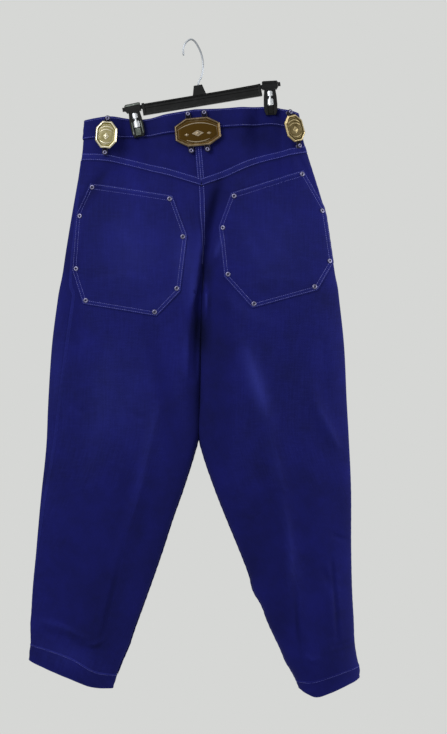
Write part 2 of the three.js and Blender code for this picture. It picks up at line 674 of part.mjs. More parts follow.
/** Rivet through a lug: a flange on the cloth, a shank and a head over the plate. */
function postGeometry(length) {
  const { radius, flange, flangeHeight, head, headHeight, sides } = POST;
  const top = length + PLATE.thickness + SEAT;
  const profile = [[0, 0], [flange, 0], [flange, flangeHeight], [radius, flangeHeight], [radius, top],
    [head, top], [head, top + headHeight * 0.4], [head * 0.6, top + headHeight], [0, top + headHeight]];
  return new THREE.LatheGeometry(profile.map(([r, h]) => new THREE.Vector2(r, h)), sides);
}

function addPlate(plate) {
  const shape = PLATE_SHAPES[plate.shape];
  const cloth = ['waistband', 'yoke_left', 'yoke_right'].map((name) => part.getObjectByName(name));
  const place = findPlace(HALVES[plate.half], plate.x, plate.z);
  const { right, up, out } = plateFrame(plate, clothNormal(place.half, place.turn, place.level));
  const origin = clothPoint(place.half, place.turn, place.level).addScaledVector(out, plate.standoff);
  const mesh = addMesh(plate.name, plateSolid(shape), plate.shape === 'wide' ? 'bronze' : 'brass');
  mesh.position.copy(origin);
  mesh.quaternion.setFromRotationMatrix(new THREE.Matrix4().makeBasis(right, up, out));
  shape.lugs.forEach(([x, y], i) => {
    const lug = origin.clone().addScaledVector(right, x).addScaledVector(up, y);
    const depth = reachTo(cloth, lug, out.clone().negate(), POST.flange) - SEAT;
    const post = addMesh(`${plate.name}_post_${i + 1}`, postGeometry(depth), 'rivet');
    standOn(post, { point: lug.addScaledVector(out, -depth), normal: out });
  });
}

/** Hanger bar with its neck: a thin web between two flanges, and a rail for each clip. */
function barSolid() {
  const { halfLength, webHalfLength, top, bottom, railBottom, stopHalf, stopRise } = BAR;
  const { web, rail, flange, flangeHeight } = BAR_DEPTH;
  const parts = [
    box(-webHalfLength, webHalfLength, -web / 2, web / 2, bottom, top),
    box(-webHalfLength, webHalfLength, -flange / 2, flange / 2, top - flangeHeight, top),
    box(-webHalfLength, webHalfLength, -flange / 2, flange / 2, bottom, bottom + flangeHeight),
    box(-halfLength, halfLength, -rail / 2, rail / 2, railBottom, top - 1),
  ];
  for (const side of [-1, 1]) {
    const stop = side * (webHalfLength - stopHalf);
    parts.push(box(stop - stopHalf, stop + stopHalf, -flange / 2, flange / 2, bottom, top + stopRise));
  }
  const neck = outline([[NECK.x - NECK.baseHalf, top - 1], [NECK.x + NECK.baseHalf, top - 1],
    [NECK.x + NECK.topHalf, NECK.top], [NECK.x - NECK.topHalf, NECK.top]]);
  parts.push(slab(neck, -NECK.depth / 2, NECK.depth / 2).rotateX(Math.PI / 2));
  return geometryOf(parts.map(solidOf).reduce((sum, next) => sum.add(next)));
}

/** Wire hook with its ball end. */
function hookGeometry() {
  const points = HOOK_POINTS.map(([x, z]) => new THREE.Vector3(x, 0, z));
  const route = new THREE.CatmullRomCurve3(points, false, 'centripetal');
  const section = new THREE.Shape().absarc(0, 0, HOOK_WIRE / 2, 0, 2 * Math.PI);
  return new THREE.ExtrudeGeometry(section, { steps: 40, extrudePath: route, curveSegments: 4 });
}

/** Near jaw with the sleeve that slides on the rail. Its own frame has z 0 at the rail. */
function nearJawSolid() {
  const c = CLIP;
  const low = -c.sleeveHeight / 2;
  const inner = PINCH.halfDepth + SEAT;
  let solid = solidOf(box(-c.sleeveHalf, c.sleeveHalf, -c.sleeveDepth / 2, c.sleeveDepth / 2, low, -low));
  const hole = box(-c.sleeveHalf - 1, c.sleeveHalf + 1, -c.holeDepth / 2, c.holeDepth / 2,
    -c.holeHeight / 2, c.holeHeight / 2);
  solid = solid.subtract(solidOf(hole));
  const side = outline([[-c.jawOuter, low + 0.5], [-inner, low + 0.5], [-inner, c.jawEnd],
    [-c.jawOuter + 1.5, c.jawEnd], [-c.jawOuter, c.jawEnd + 6]]);
  solid = solid.add(solidOf(jawSlab(side)));
  const slot = box(-c.springHalf - SEAT, c.springHalf + SEAT, -c.jawOuter - 1, -inner + 1,
    c.springTop - c.springThick - SEAT, c.springTop + SEAT);
  return geometryOf(solid.subtract(solidOf(slot)));
}

/** Slab across a jaw, from an outline in y and z. */
function jawSlab(shape) {
  const geometry = slab(shape, -CLIP.jawHalf, CLIP.jawHalf);
  const axes = new THREE.Matrix4().makeBasis(
    new THREE.Vector3(0, 1, 0), new THREE.Vector3(0, 0, 1), new THREE.Vector3(1, 0, 0));
  return geometry.applyMatrix4(axes);
}

function farJawGeometry() {
  const c = CLIP;
  const inner = PINCH.halfDepth + SEAT;
  const top = c.springTop - c.springThick - SEAT;
  return jawSlab(outline([[inner, top], [inner, c.jawEnd], [c.jawOuter - 1.5, c.jawEnd],
    [c.jawOuter, c.jawEnd + 6], [c.jawOuter, top]]));
}

/** Steel spring bent over both jaws. */
function springGeometry() {
  const c = CLIP;
  const inside = c.jawOuter + SEAT;
  const outside = inside + c.springThick;
  const low = c.springTop - c.springThick;
  const profile = outline([[-outside, c.springEnd], [-inside, c.springEnd], [-inside, low], [inside, low],
    [inside, c.springEnd], [outside, c.springEnd], [outside, c.springTop], [-outside, c.springTop]]);
  const geometry = jawSlab(profile);
  return geometry.scale(c.springHalf / c.jawHalf, 1, 1);
}

function addHanger() {
  const hanger = new THREE.Group();
  hanger.rotation.y = -HANGER_TILT;
  part.add(hanger);
  addMesh('hanger_bar', barSolid(), 'plastic', hanger);
  addMesh('hanger_hook', hookGeometry(), 'steel', hanger);
  for (const clip of CLIPS) {
    const group = new THREE.Group();
    group.position.set(clip.along, 0, CLIP.pivot);
    group.rotation.y = THREE.MathUtils.degToRad(clip.lean);
    hanger.add(group);
    addMesh(`${clip.name}_near_jaw`, nearJawSolid(), 'plastic', group);
    addMesh(`${clip.name}_far_jaw`, farJawGeometry(), 'plastic', group);
    addMesh(`${clip.name}_spring`, springGeometry(), 'steel', group);
  }
}

addPanels();
addHems();
addWaistband();
addFly();
addButton();
addPocket(HALVES.left, LEFT_POCKET);
addPocket(HALVES.right, RIGHT_POCKET);
for (const plate of PLATES) addPlate(plate);
addHanger();

export default part;
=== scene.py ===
"""Baggy jeans hung by the waist from a clip hanger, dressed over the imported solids.

Sizes are in millimetres up to the moment a mesh is made, where they turn into metres.
"""

import logging
import math
from dataclasses import dataclass, field
from enum import Enum, IntEnum
from functools import partial
from typing import Any, Iterable, Sequence

import bmesh
import bpy
import numpy as np
from mathutils import Matrix, Vector


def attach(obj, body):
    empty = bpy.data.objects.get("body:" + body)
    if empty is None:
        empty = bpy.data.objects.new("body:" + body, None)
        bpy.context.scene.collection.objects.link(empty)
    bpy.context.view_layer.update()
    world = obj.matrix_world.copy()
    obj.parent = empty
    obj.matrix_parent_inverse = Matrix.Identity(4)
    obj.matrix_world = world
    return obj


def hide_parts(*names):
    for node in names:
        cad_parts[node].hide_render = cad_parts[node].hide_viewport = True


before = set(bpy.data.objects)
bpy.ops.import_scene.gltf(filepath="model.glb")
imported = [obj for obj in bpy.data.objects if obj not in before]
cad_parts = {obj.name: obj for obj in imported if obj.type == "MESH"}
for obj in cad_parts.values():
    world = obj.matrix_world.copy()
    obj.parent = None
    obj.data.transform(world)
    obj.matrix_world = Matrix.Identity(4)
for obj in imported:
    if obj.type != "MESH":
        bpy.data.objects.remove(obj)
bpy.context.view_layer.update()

LOG = logging.getLogger("jeans")
MM = 0.001
Array = np.ndarray
Point = tuple[float, float]
Triple = tuple[float, float, float]


class Face(Enum):
    """The two faces of the jeans, as they hang."""

    BACK = "back"
    FRONT = "front"


class Level(IntEnum):
    """Distances down the garment from the top edge of the waistband, in mm."""

    WAIST = 0
    BAND = 38
    YOKE = 105
    HIP = 190
    CROTCH = 340
    HEM_SEAM = 1045
    HEM_EDGE = 1078


# Small mathematics


def hermite(at: Sequence[float], values: Any, t: Array) -> Array:
    """Cubic through rows of values, with each slope taken from both neighbours.

    Args:
        at: Where each row of values stands, rising.
        values: One row for each place, with any number of columns.
        t: Places to read.

    Returns:
        The columns at each place, in the last axis.
    """
    at, v, t = np.asarray(at, float), np.asarray(values, float), np.asarray(t, float)
    last = len(at) - 1
    i = np.clip(np.searchsorted(at, t, side="left") - 1, 0, last - 1)
    k = np.arange(last + 1)
    low, high = np.maximum(k - 1, 0), np.minimum(k + 1, last)
    slope = (v[high] - v[low]) / (at[high] - at[low])[:, None]
    span = (at[i + 1] - at[i])[..., None]
    s = (t - at[i])[..., None] / span
    rise, m0, m1 = v[i + 1] - v[i], slope[i] * span, slope[i + 1] * span
    return v[i] + s * (m0 + s * (3 * rise - 2 * m0 - m1 + s * (m0 + m1 - 2 * rise)))


def smooth(low: float, high: float, value: Array) -> Array:
    """Smooth step from 0 at low to 1 at high."""
    s = np.clip((value - low) / (high - low), 0, 1)
    return s * s * (3 - 2 * s)


def mix(a: Any, b: Any, t: Any) -> Any:
    """Value between a and b."""
    return a + (b - a) * t


def bell(distance: Any, reach: Any) -> Any:
    """Bell curve of a distance, 1 at its middle."""
    return np.exp(-((distance / reach) ** 2))


def round_off(share: Array) -> Array:
    """Height of a quarter circle over its base, level past its end."""
    return np.sqrt(1 - (1 - np.clip(share, 0, 1)) ** 2)


def unit(v: Array) -> Array:
    """Vectors of length one."""
    return v / np.maximum(np.linalg.norm(v, axis=-1, keepdims=True), 1e-9)


# The form of the hanging cloth

# Rows of level, inner x and z, outer x and z, depth, closing into a leg, and the lift of the
# section's line at a quarter, half and three quarters of its width
LEFT_SECTIONS = (
    (0, 6, -135, -203, -154, 20, 0, -4, -7, 2),
    (38, 10, -174, -206, -190, 22, 0, -3, -4, -1),
    (105, 19, -279, -210, -228, 26, 0, 5, 8, 8),
    (190, 21, -332, -228, -332, 29, 0, 0, 0, 0),
    (255, 23, -399, -239, -399, 31, 0, 0, 0, 0),
    (300, 22, -446, -246, -446, 32, 0.15, 0, 0, 0),
    (325, 20.5, -470, -251, -470, 32, 0.45, 0, 0, 0),
    (340, 18.6, -486, -254, -486, 32, 1, 0, 0, 0),
    (435, 16, -580, -266, -580, 32, 1, 0, 0, 0),
    (540, 13.5, -684, -273, -684, 31, 1, 0, 0, 0),
    (610, 10.5, -756, -277, -756, 30, 1, 0, 0, 0),
    (700, -15, -846, -285, -846, 29, 1, 0, 0, 0),
    (830, -63, -988, -295, -960, 27, 1, 0, 0, 0),
    (935, -104, -1102, -303, -1060, 24, 1, 0, 0, 0),
    (1045, -143, -1205, -306, -1147, 21, 1, -6, 3, 4),
    (1078, -151, -1231, -309, -1178, 20, 1, -8, -6, -3),
)
RIGHT_SECTIONS = (
    (0, 6, -135, 201, -140, 20, 0, 3, 8, 11),
    (38, 10, -174, 208, -176, 22, 0, 5, 9, 13),
    (105, 19, -279, 218, -214, 26, 0, 2, 8, 5),
    (190, 21, -332, 254, -332, 29, 0, 0, 0, 0),
    (255, 23, -399, 265, -399, 31, 0, 0, 0, 0),
    (300, 22, -446, 272, -446, 32, 0.15, 0, 0, 0),
    (325, 20.5, -470, 277, -470, 32, 0.45, 0, 0, 0),
    (340, 19.4, -486, 279, -486, 32, 1, 0, 0, 0),
    (435, 18.5, -580, 289, -580, 32, 1, 0, 0, 0),
    (540, 16.5, -684, 294, -684, 31, 1, 0, 0, 0),
    (610, 15.2, -756, 298, -756, 30, 1, 0, 0, 0),
    (700, 42, -846, 302, -846, 29, 1, 0, 0, 0),
    (830, 99, -988, 302, -965, 28, 1, 0, 0, 0),
    (935, 143, -1102, 305, -1070, 31, 1, 0, 0, 0),
    (1045, 197, -1214, 315, -1186, 37, 1, -6, -4, -1),
    (1078, 204, -1230, 317, -1210, 40, 1, -16, -13, -6),
)
SEAM_LEVELS = (0, 38, 105, 190, 255, 435, 610, 830, 1045)


@dataclass(frozen=True)
class Crease:
    """A soft trough or ridge laid along a line on one face.

    Attributes:
        face: The face it lies on.
        line: Places along it, as x and z in mm.
        height: How far it stands out, below 0 for a trough.
        width: Half width to its left and right.
        right: Share of the width on its right side, below 1 where it drops more steeply.
    """

    face: Face
    line: tuple[Point, ...]
    height: float
    width: float
    right: float = 1.0

    def reach(self, x: Array, z: Array) -> Array:
        """Share of its height that the crease has at each place.

        Args:
            x: Places across, in mm.
            z: Places up, in mm.

        Returns:
            Shares from 0 to 1.
        """
        best = np.full(x.shape, np.inf)
        along = np.zeros(x.shape)
        side = np.zeros(x.shape)
        count = len(self.line) - 1
        for k, (start, end) in enumerate(zip(self.line, self.line[1:])):
            dx, dz = end[0] - start[0], end[1] - start[1]
            share = np.clip(((x - start[0]) * dx + (z - start[1]) * dz) / (dx * dx + dz * dz), 0, 1)
            away_x, away_z = x - start[0] - share * dx, z - start[1] - share * dz
            distance = np.hypot(away_x, away_z)
            nearer = distance < best
            best = np.where(nearer, distance, best)
            along = np.where(nearer, (k + share) / count, along)
            side = np.where(nearer, away_x, side)
        width = self.width * np.where(side > 0, self.right, 1.0)
        ends = np.maximum(np.sin(np.pi * along), 0) ** 0.6
        return ends * bell(best, width)


def creases(face: Face, *rows: tuple[Any, ...]) -> tuple[Crease, ...]:
    """Creases on one face, from rows of height, width, right and the places along the line."""
    return tuple(Crease(face, row[3:], *row[:3]) for row in rows)


# The large folds, which the solids have too
LARGE_FOLDS = creases(
    Face.BACK,
    (4, 16, 1, (-55, -684), (-112, -900), (-169, -1127)),
    (4, 16, 1, (101, -583), (160, -800), (205, -1153)),
    (-7, 18, 1, (61, -289), (40, -365), (27, -437)),
    (3.5, 14, 1, (215, -640), (245, -715), (281, -779)),
    (3, 12, 1, (262, -1007), (265, -1065), (268, -1127)),
) + creases(
    Face.FRONT,
    (4, 16, 1, (-60, -600), (-112, -880), (-165, -1120)),
    (4, 16, 1, (105, -600), (158, -820), (203, -1140)),
    (3.5, 14, 1, (5, -410), (-60, -375), (-130, -352)),
    (3.5, 14, 1, (42, -412), (100, -378), (175, -350)),
    (3, 14, 1, (-130, -700), (-175, -735), (-240, -750)),
)

# The small creases: pressed legs, pulls beside the seams, and wrinkles over the hems
SMALL_CREASES = creases(
    Face.BACK,
    (-10, 13, 1, (66, -240), (50, -300), (38, -350), (30, -400), (26, -450)),
    (7.5, 12, 0.14, (20, -320), (20, -391), (14, -437), (8, -471), (1, -509), (-5, -562), (-8, -650)),
    (-7, 8, 1, (30, -380), (22, -440), (15, -510), (8, -570), (6, -650)),
    (5.5, 3.6, 1, (25, -460), (29, -496), (26, -536)),
    (4.5, 6, 1, (60, -374), (52, -392), (40, -418), (32, -440)),
    (3.2, 12, 0.4, (-55, -684), (-70, -722), (-99, -855), (-123, -937), (-146, -1045), (-169, -1130)),
    (-2.4, 12, 1, (-42, -700), (-60, -780), (-94, -930), (-132, -1080)),
    (-3.4, 4.5, 1, (-126, -940), (-148, -1030), (-162, -1085), (-170, -1131)),
    (3.0, 4, 1, (-204, -1145), (-186, -1146), (-170, -1138), (-160, -1126)),
    (2.0, 6, 1, (-292, -1098), (-262, -1106), (-228, -1118), (-186, -1137)),
    (-1.8, 7, 1, (-280, -1120), (-240, -1131), (-196, -1150)),
    (-1.8, 6, 1, (-232, -690), (-214, -703), (-196, -706)),
    (-1.6, 6, 1, (-120, -702), (-100, -716), (-84, -719)),
    (-4.0, 12, 0.6, (-150, -238), (-186, -283), (-213, -329)),
    (1.8, 11, 1, (-20, -470), (-60, -500), (-120, -520)),
    (1.8, 12, 1, (60, -480), (104, -520), (170, -548)),
    (-2.6, 16, 1, (60, -500), (70, -580), (88, -640)),
    (3.0, 12, 0.5, (101, -583), (118, -640), (142, -722)),
    (2.0, 12, 0.5, (148, -740), (160, -800), (167, -855)),
    (3.0, 10, 0.5, (167, -855), (182, -918), (192, -1039), (200, -1120)),
    (-3.4, 5, 1, (190, -985), (194, -1044), (198, -1111), (207, -1151)),
    (-3.2, 4.5, 1, (263, -980), (268, -1030), (272, -1080), (275, -1142)),
    (2.4, 9, 0.6, (230, -684), (258, -734), (281, -779)),
    (-2.6, 7, 1, (243, -1000), (256, -1020), (262, -1049)),
    (-2.0, 5, 1, (264, -938), (282, -946), (299, -948)),
    (2.6, 4.5, 1, (212, -1160), (226, -1172), (242, -1166)),
    (-2.6, 4.5, 1, (262, -1150), (286, -1143), (312, -1136)),
    (-2.0, 12, 1, (120, -700), (150, -770), (176, -812)),
    (1.8, 14, 1, (-262, -560), (-250, -640), (-262, -720)),
    (1.8, 20, 1, (-150, -560), (-170, -700), (-196, -860)),
    (-2.0, 14, 1, (240, -560), (250, -620), (244, -690)),
    (-1.6, 8, 1, (-74, -182), (-66, -206), (-52, -226)),
    (-1.6, 8, 1, (112, -172), (104, -198), (92, -216)),
    (-2.0, 9, 0.6, (196, -215), (222, -262), (240, -300)),
    (1.3, 10, 1, (86, -330), (120, -414), (150, -470)),
    (-1.2, 11, 1, (122, -316), (160, -390), (200, -430)),
    (1.2, 12, 1, (-150, -334), (-112, -400), (-96, -450)),
    (-1.3, 9, 1, (-60, -330), (-84, -388), (-88, -430)),
    (1.1, 7, 1, (-184, -462), (-130, -446), (-74, -462)),
    (1.1, 7, 1, (96, -468), (150, -452), (214, -458)),
) + creases(
    Face.FRONT,
    (2.8, 10, 0.5, (-60, -640), (-112, -880), (-150, -1060)),
    (2.8, 10, 0.5, (105, -640), (158, -820), (196, -1080)),
    (2.2, 8, 1, (20, -380), (-16, -372), (-70, -352)),
    (2.2, 8, 1, (24, -384), (60, -376), (112, -350)),
    (-2.6, 9, 1, (22, -400), (2, -430), (-30, -452)),
    (-2.6, 9, 1, (24, -400), (50, -432), (86, -450)),
    (2.0, 7, 1, (-200, -1090), (-240, -1104), (-280, -1092)),
    (2.0, 7, 1, (216, -1120), (250, -1138), (292, -1120)),
    (1.8, 12, 1, (-150, -250), (-140, -300), (-156, -352)),
    (1.8, 12, 1, (160, -240), (168, -300), (150, -346)),
)


@dataclass(frozen=True)
class WearAndPaintedLightPatch:
    """An oval patch of cloth, paler with wear and painted highlights, or darker with painted shade.

    Attributes:
        face: The face it lies on.
        x: Its middle across, in mm.
        z: Its middle up.
        across: Its half width.
        down: Its half height.
        lean: How far it leans to the left, in degrees.
        strength: How much paler it is, below 0 where it is darker with painted shade.
    """

    face: Face
    x: float
    z: float
    across: float
    down: float
    lean: float
    strength: float

    def amount(self, x: Array, z: Array) -> Array:
        """How much paler or darker the patch makes the cloth at each place.

        Args:
            x: Places across, in mm.
            z: Places up, in mm.

        Returns:
            How much paler it is, below 0 where it is darker with painted shade.
        """
        turn = math.radians(self.lean)
        along = (x - self.x) * math.cos(turn) + (z - self.z) * math.sin(turn)
        up = (z - self.z) * math.cos(turn) - (x - self.x) * math.sin(turn)
        return self.strength * bell(along, self.across) * bell(up, self.down)


def patches(face: Face, *rows: tuple[float, ...]) -> tuple[WearAndPaintedLightPatch, ...]:
    """Patches on one face, from rows of x, z, across, down, lean and strength."""
    return tuple(WearAndPaintedLightPatch(face, *row) for row in rows)


WEAR_AND_PAINTED_LIGHT = patches(
    Face.BACK,
    # Painted shade: under the waistband, in the seat's and crotch's hollows, in creases, on the lower
    # legs
    (30, -178, 250, 50, 0, -0.34),
    (42, -310, 15, 42, -12, -0.60),
    (28, -440, 13, 30, -10, -0.75),
    (16, -554, 16, 40, 8, -1.10),
    (34, -500, 4, 40, 0, -0.35),
    (10, -650, 12, 90, 0, -0.35),
    (44, -640, 24, 130, 0, -0.22),
    (-20, -820, 16, 190, 12, -0.14),
    (-90, -1010, 150, 160, 0, -0.14),
    (230, -1020, 120, 160, 0, -0.12),
    (-152, -1056, 4.5, 72, -14, -0.50),
    (-186, -1146, 20, 4, -8, -0.30),
    (198, -1094, 4, 56, 6, -0.40),
    (270, -1070, 3.5, 60, 4, -0.30),
    (288, -1150, 30, 4, 14, -0.35),
    (262, -1194, 60, 22, 12, -0.20),
    (-236, -400, 14, 110, 4, -0.28),
    (-184, -286, 7, 52, -35, -0.45),
    # Paler: painted highlights on the crests of folds, and wear over the seat and legs
    (27, -496, 3.5, 24, 0, 0.16),
    (45, -410, 8, 28, -34, 0.10),
    (124, -652, 14, 60, 17, 0.22),
    (-14, -420, 20, 60, 4, 0.14),
    (-112, -400, 62, 78, 8, 0.10),
    (160, -390, 60, 70, -8, 0.08),
    (-130, -690, 60, 90, 0, 0.06),
    (200, -1010, 26, 90, 6, 0.12),
    (268, -1030, 26, 90, 0, 0.10),
    (-236, -1170, 60, 24, -18, 0.08),
    (20, -215, 120, 26, 0, 0.06),
) + patches(
    Face.FRONT,
    (-140, -620, 60, 120, 0, 0.16),
    (170, -620, 60, 120, 0, 0.16),
)


@dataclass(frozen=True)
class Half:
    """One half of the jeans: its sections, side seam and clip.

    Attributes:
        name: The side of the photograph it hangs on.
        sections: Rows of its sections.
        side_seam: Where the side seam runs, as a turn round the half, at each seam level.
        sign: Direction in which its turn runs round the body.
        clip_x: Middle of the clip that holds it.
        clip_fall: Distance over which the cloth opens again towards the side.
        inner_fall: The same towards the centre seam.
    """

    name: str
    sections: tuple[tuple[float, ...], ...]
    side_seam: tuple[float, ...]
    sign: int
    clip_x: float
    clip_fall: float
    inner_fall: float

    def side_turn(self, level: Any) -> Array:
        """Turn at which the side seam runs."""
        at = np.clip(np.asarray(level, float), 0, Level.HEM_SEAM)
        return hermite(SEAM_LEVELS, np.array(self.side_seam)[:, None], at)[..., 0]


LEFT = Half("left", LEFT_SECTIONS, (0.5, 0.5, 0.47, 0.41, 0.392, 0.394, 0.42, 0.46, 0.5),
            1, -104.5, 42, 42)
RIGHT = Half("right", RIGHT_SECTIONS, (0.5, 0.5, 0.51, 0.53, 0.54, 0.54, 0.53, 0.51, 0.5),
             -1, 149, 23, 44)


@dataclass(frozen=True)
class EdgeWave:
    """A small wave in the outline of a leg.

    Attributes:
        half: Name of the half.
        outer: Whether it lies at the side seam, not at the inseam.
        level: Middle of the wave, down the leg.
        reach: Its half length.
        shift: How far it moves the outline across, in mm.
    """

    half: str
    outer: bool
    level: float
    reach: float
    shift: float


EDGE_WAVES = (
    EdgeWave("right", False, 882, 17, -4.0),
    EdgeWave("right", False, 912, 16, 1.8),
    EdgeWave("right", False, 1010, 16, -2.5),
    EdgeWave("right", True, 1004, 30, -2.5),
    EdgeWave("right", True, 1052, 14, 2.0),
    EdgeWave("left", False, 760, 40, -1.5),
    EdgeWave("left", False, 985, 22, 1.8),
    EdgeWave("left", True, 640, 60, 1.5),
    EdgeWave("left", True, 1000, 26, -1.8),
)


@dataclass(frozen=True)
class HangingForm:
    """The outer face of the jeans as they hang.

    A turn runs from 0 at the centre back or inseam, over 0.5 at the side, to 1 at the centre front
    or inseam. A level is a distance down the garment.

    Attributes:
        creases: The large folds, which fade towards the side seams and inseams.
        details: The small creases, which run close up to the seams.
        waves: The waves in its outline.
        uneven: Height of the soft unevenness of washed cloth, in mm.
        lap: How far each leg laps over the middle where the two touch, in mm.
        closing: Levels between which the seat's hollow closes into the legs, or None for the
            sections' own closing.
        meeting: Levels over which the legs come to touch.
        parting: Levels over which they part again.
        rounding_outer: Share of the width over which the outer side rounds off.
        rounding_inner: The same at the inseam.
        fullness_waist: Below 1 a folded side is blunter than an ellipse, here at the waist.
        fullness_legs: The same from the hips down.
        fold_fade: Share of the width over which the folds fade towards the seams.
        detail_fade: The same for the small creases.
        pinch_depth: Half depth to which the clips press the cloth.
        pinch_half: Half width that they press.
        pinch_gone: Level at which the cloth is free of them.
    """

    creases: tuple[Crease, ...] = LARGE_FOLDS
    details: tuple[Crease, ...] = ()
    waves: tuple[EdgeWave, ...] = ()
    uneven: float = 0.0
    lap: float = 0.0
    closing: Point | None = None
    meeting: Point = (300, 400)
    parting: Point = (590, 650)
    rounding_outer: float = 0.5
    rounding_inner: float = 0.4
    fullness_waist: float = 0.55
    fullness_legs: float = 0.8
    fold_fade: float = 0.12
    detail_fade: float = 0.03
    pinch_depth: float = 2.6
    pinch_half: float = 19
    pinch_gone: float = 200

    def folds(self, x: Array, z: Array, front: Array, across: Array, close: Array) -> Array:
        """Height that folds and unevenness add at each place.

        Args:
            x: Places across, in mm.
            z: Places up, in mm.
            front: Which of them lie on the front.
            across: Their shares of the half's width.
            close: How far the half is closed into a leg there.

        Returns:
            Heights in mm.
        """
        height = np.zeros(x.shape)
        for creases, reach in ((self.creases, self.fold_fade), (self.details, self.detail_fade)):
            fade = smooth(0, reach, 1 - across) * mix(1, smooth(0, reach, across), close)
            for crease in creases:
                on_face = front if crease.face is Face.FRONT else ~front
                height += np.where(on_face, fade * crease.height * crease.reach(x, z), 0)
        if self.uneven:
            shift = np.where(front, 1.9, 0.0)
            broad = np.sin(x / 31 + z / 190 + shift) * np.sin(z / 83 - x / 240 + 2 * shift)
            fine = np.sin(x / 11.5 - z / 52 + 1.1 + shift) * np.sin(z / 27 + x / 61 + shift)
            inside = smooth(0, self.fold_fade, 1 - across)
            height += inside * self.uneven * (broad + 0.35 * fine)
        return height

    def pinch(self, x: Array, level: Array) -> Array:
        """How firmly the clips press at each place.

        Args:
            x: Places across, in mm.
            level: Distances down the garment.

        Returns:
            Shares from 0 to 1.
        """
        press = np.zeros(x.shape)
        for half in (LEFT, RIGHT):
            away = x - half.clip_x
            outward = away * half.sign < 0
            fall = np.where(outward, half.clip_fall, half.inner_fall)
            press = np.maximum(press, 1 - smooth(0, 1, (np.abs(away) - self.pinch_half) / fall))
        return press * (1 - smooth(Level.BAND, self.pinch_gone, level))

    def point(self, half: Half, turn: Any, level: Any) -> Array:
        """Points of the outer face.

        Args:
            half: The half they lie on.
            turn: Turns round it.
            level: Distances down it.

        Returns:
            Points in mm, in the last axis.
        """
        turn, level = np.broadcast_arrays(np.asarray(turn, float), np.asarray(level, float))
        rows = np.array(half.sections)
        read = np.moveaxis(hermite(rows[:, 0], rows[:, 1:], level), -1, 0)
        x_in, z_in, x_out, z_out, depth, close, q1, q2, q3 = read
        touching = smooth(*self.meeting, level) * (1 - smooth(*self.parting, level))
        x_in = x_in + self.lap * half.sign * touching
        for wave in self.waves:
            if wave.half == half.name:
                moved = wave.shift * bell(level - wave.level, wave.reach)
                x_in, x_out = (x_in, x_out + moved) if wave.outer else (x_in + moved, x_out)
        close = np.clip(close, 0, 1)
        front = turn > 0.5
        u = np.clip(np.where(front, 2 - 2 * turn, 2 * turn), 0, 1)
        across = mix(np.sin(u * np.pi / 2), (1 - np.cos(np.pi * u)) / 2, close)
        fullness = mix(self.fullness_waist, self.fullness_legs, smooth(Level.BAND, Level.HIP, level))
        outer = round_off((1 - across) / self.rounding_outer) ** fullness
        inner = round_off(across / self.rounding_inner) ** fullness
        if self.closing:
            close = smooth(*self.closing, level)
        reach = outer * mix(1, inner, close)
        x = mix(x_in, x_out, across)
        z = mix(z_in, z_out, across) + quarter_lift(np.stack([q1, q2, q3], -1), across)
        free = depth * reach + self.folds(x, z, front, across, close)
        y = mix(free, np.minimum(free, self.pinch_depth), self.pinch(x, level))
        return np.stack([x, np.where(front, y, -y), z], -1)

    def normal(self, half: Half, turn: Any, level: Any) -> Array:
        """Outward directions of the face.

        Args:
            half: The half they lie on.
            turn: Turns round it.
            level: Distances down it.

        Returns:
            Directions of length one, in the last axis.
        """
        turn, level = np.broadcast_arrays(np.asarray(turn, float), np.asarray(level, float))
        low, high = np.maximum(0, turn - 0.004), np.minimum(1, turn + 0.004)
        above, below = np.maximum(0, level - 1.5), np.minimum(Level.HEM_EDGE, level + 1.5)
        round_it = self.point(half, high, level) - self.point(half, low, level)
        down = self.point(half, turn, below) - self.point(half, turn, above)
        return unit(np.cross(round_it, down)) * half.sign

    def surface(self, half: Half, turn: Any, level: Any) -> tuple[Array, Array]:
        """Points of the face and its outward directions, with the arguments of point."""
        return self.point(half, turn, level), self.normal(half, turn, level)

    def find(self, half: Half, x: Any, z: Any, front: bool = False) -> tuple[Array, Array]:
        """Turns and levels at places in the plane of the photograph.

        Args:
            half: The half they lie on.
            x: Places across, in mm.
            z: Places up, in mm.
            front: Whether they lie on the front.

        Returns:
            The turns and the levels.
        """
        x, z = np.asarray(x, float).ravel(), np.asarray(z, float).ravel()

        def face(u: Array) -> Array:
            """Turn of a share of the half's width."""
            return 1 - u / 2 if front else u / 2

        levels, shares = np.meshgrid(np.arange(0, Level.HEM_EDGE + 1, 14.0), np.arange(0.02, 1, 0.04),
                                     indexing="ij")
        grid = self.point(half, face(shares), levels)[..., [0, 2]].reshape(-1, 2)
        near = np.concatenate([
            np.argmin((grid[None, :, 0] - px[:, None]) ** 2 + (grid[None, :, 1] - pz[:, None]) ** 2, 1)
            for px, pz in zip(np.array_split(x, len(x) // 500 + 1), np.array_split(z, len(x) // 500 + 1))
        ])
        u, level = shares.ravel()[near], levels.ravel()[near]
        for _ in range(8):
            p = self.point(half, face(u), level)
            side = self.point(half, face(u - 0.002), level)
            lower = self.point(half, face(u), level + 0.5)
            a, b = (p - side)[:, 0] / 0.002, (lower - p)[:, 0] / 0.5
            c, d = (p - side)[:, 2] / 0.002, (lower - p)[:, 2] / 0.5
            determinant = a * d - b * c
            miss_x, miss_z = x - p[:, 0], z - p[:, 2]
            u = np.clip(u + (d * miss_x - b * miss_z) / determinant, 0.003, 0.997)
            level = level + np.clip((a * miss_z - c * miss_x) / determinant, -30, 30)
        return face(u), level


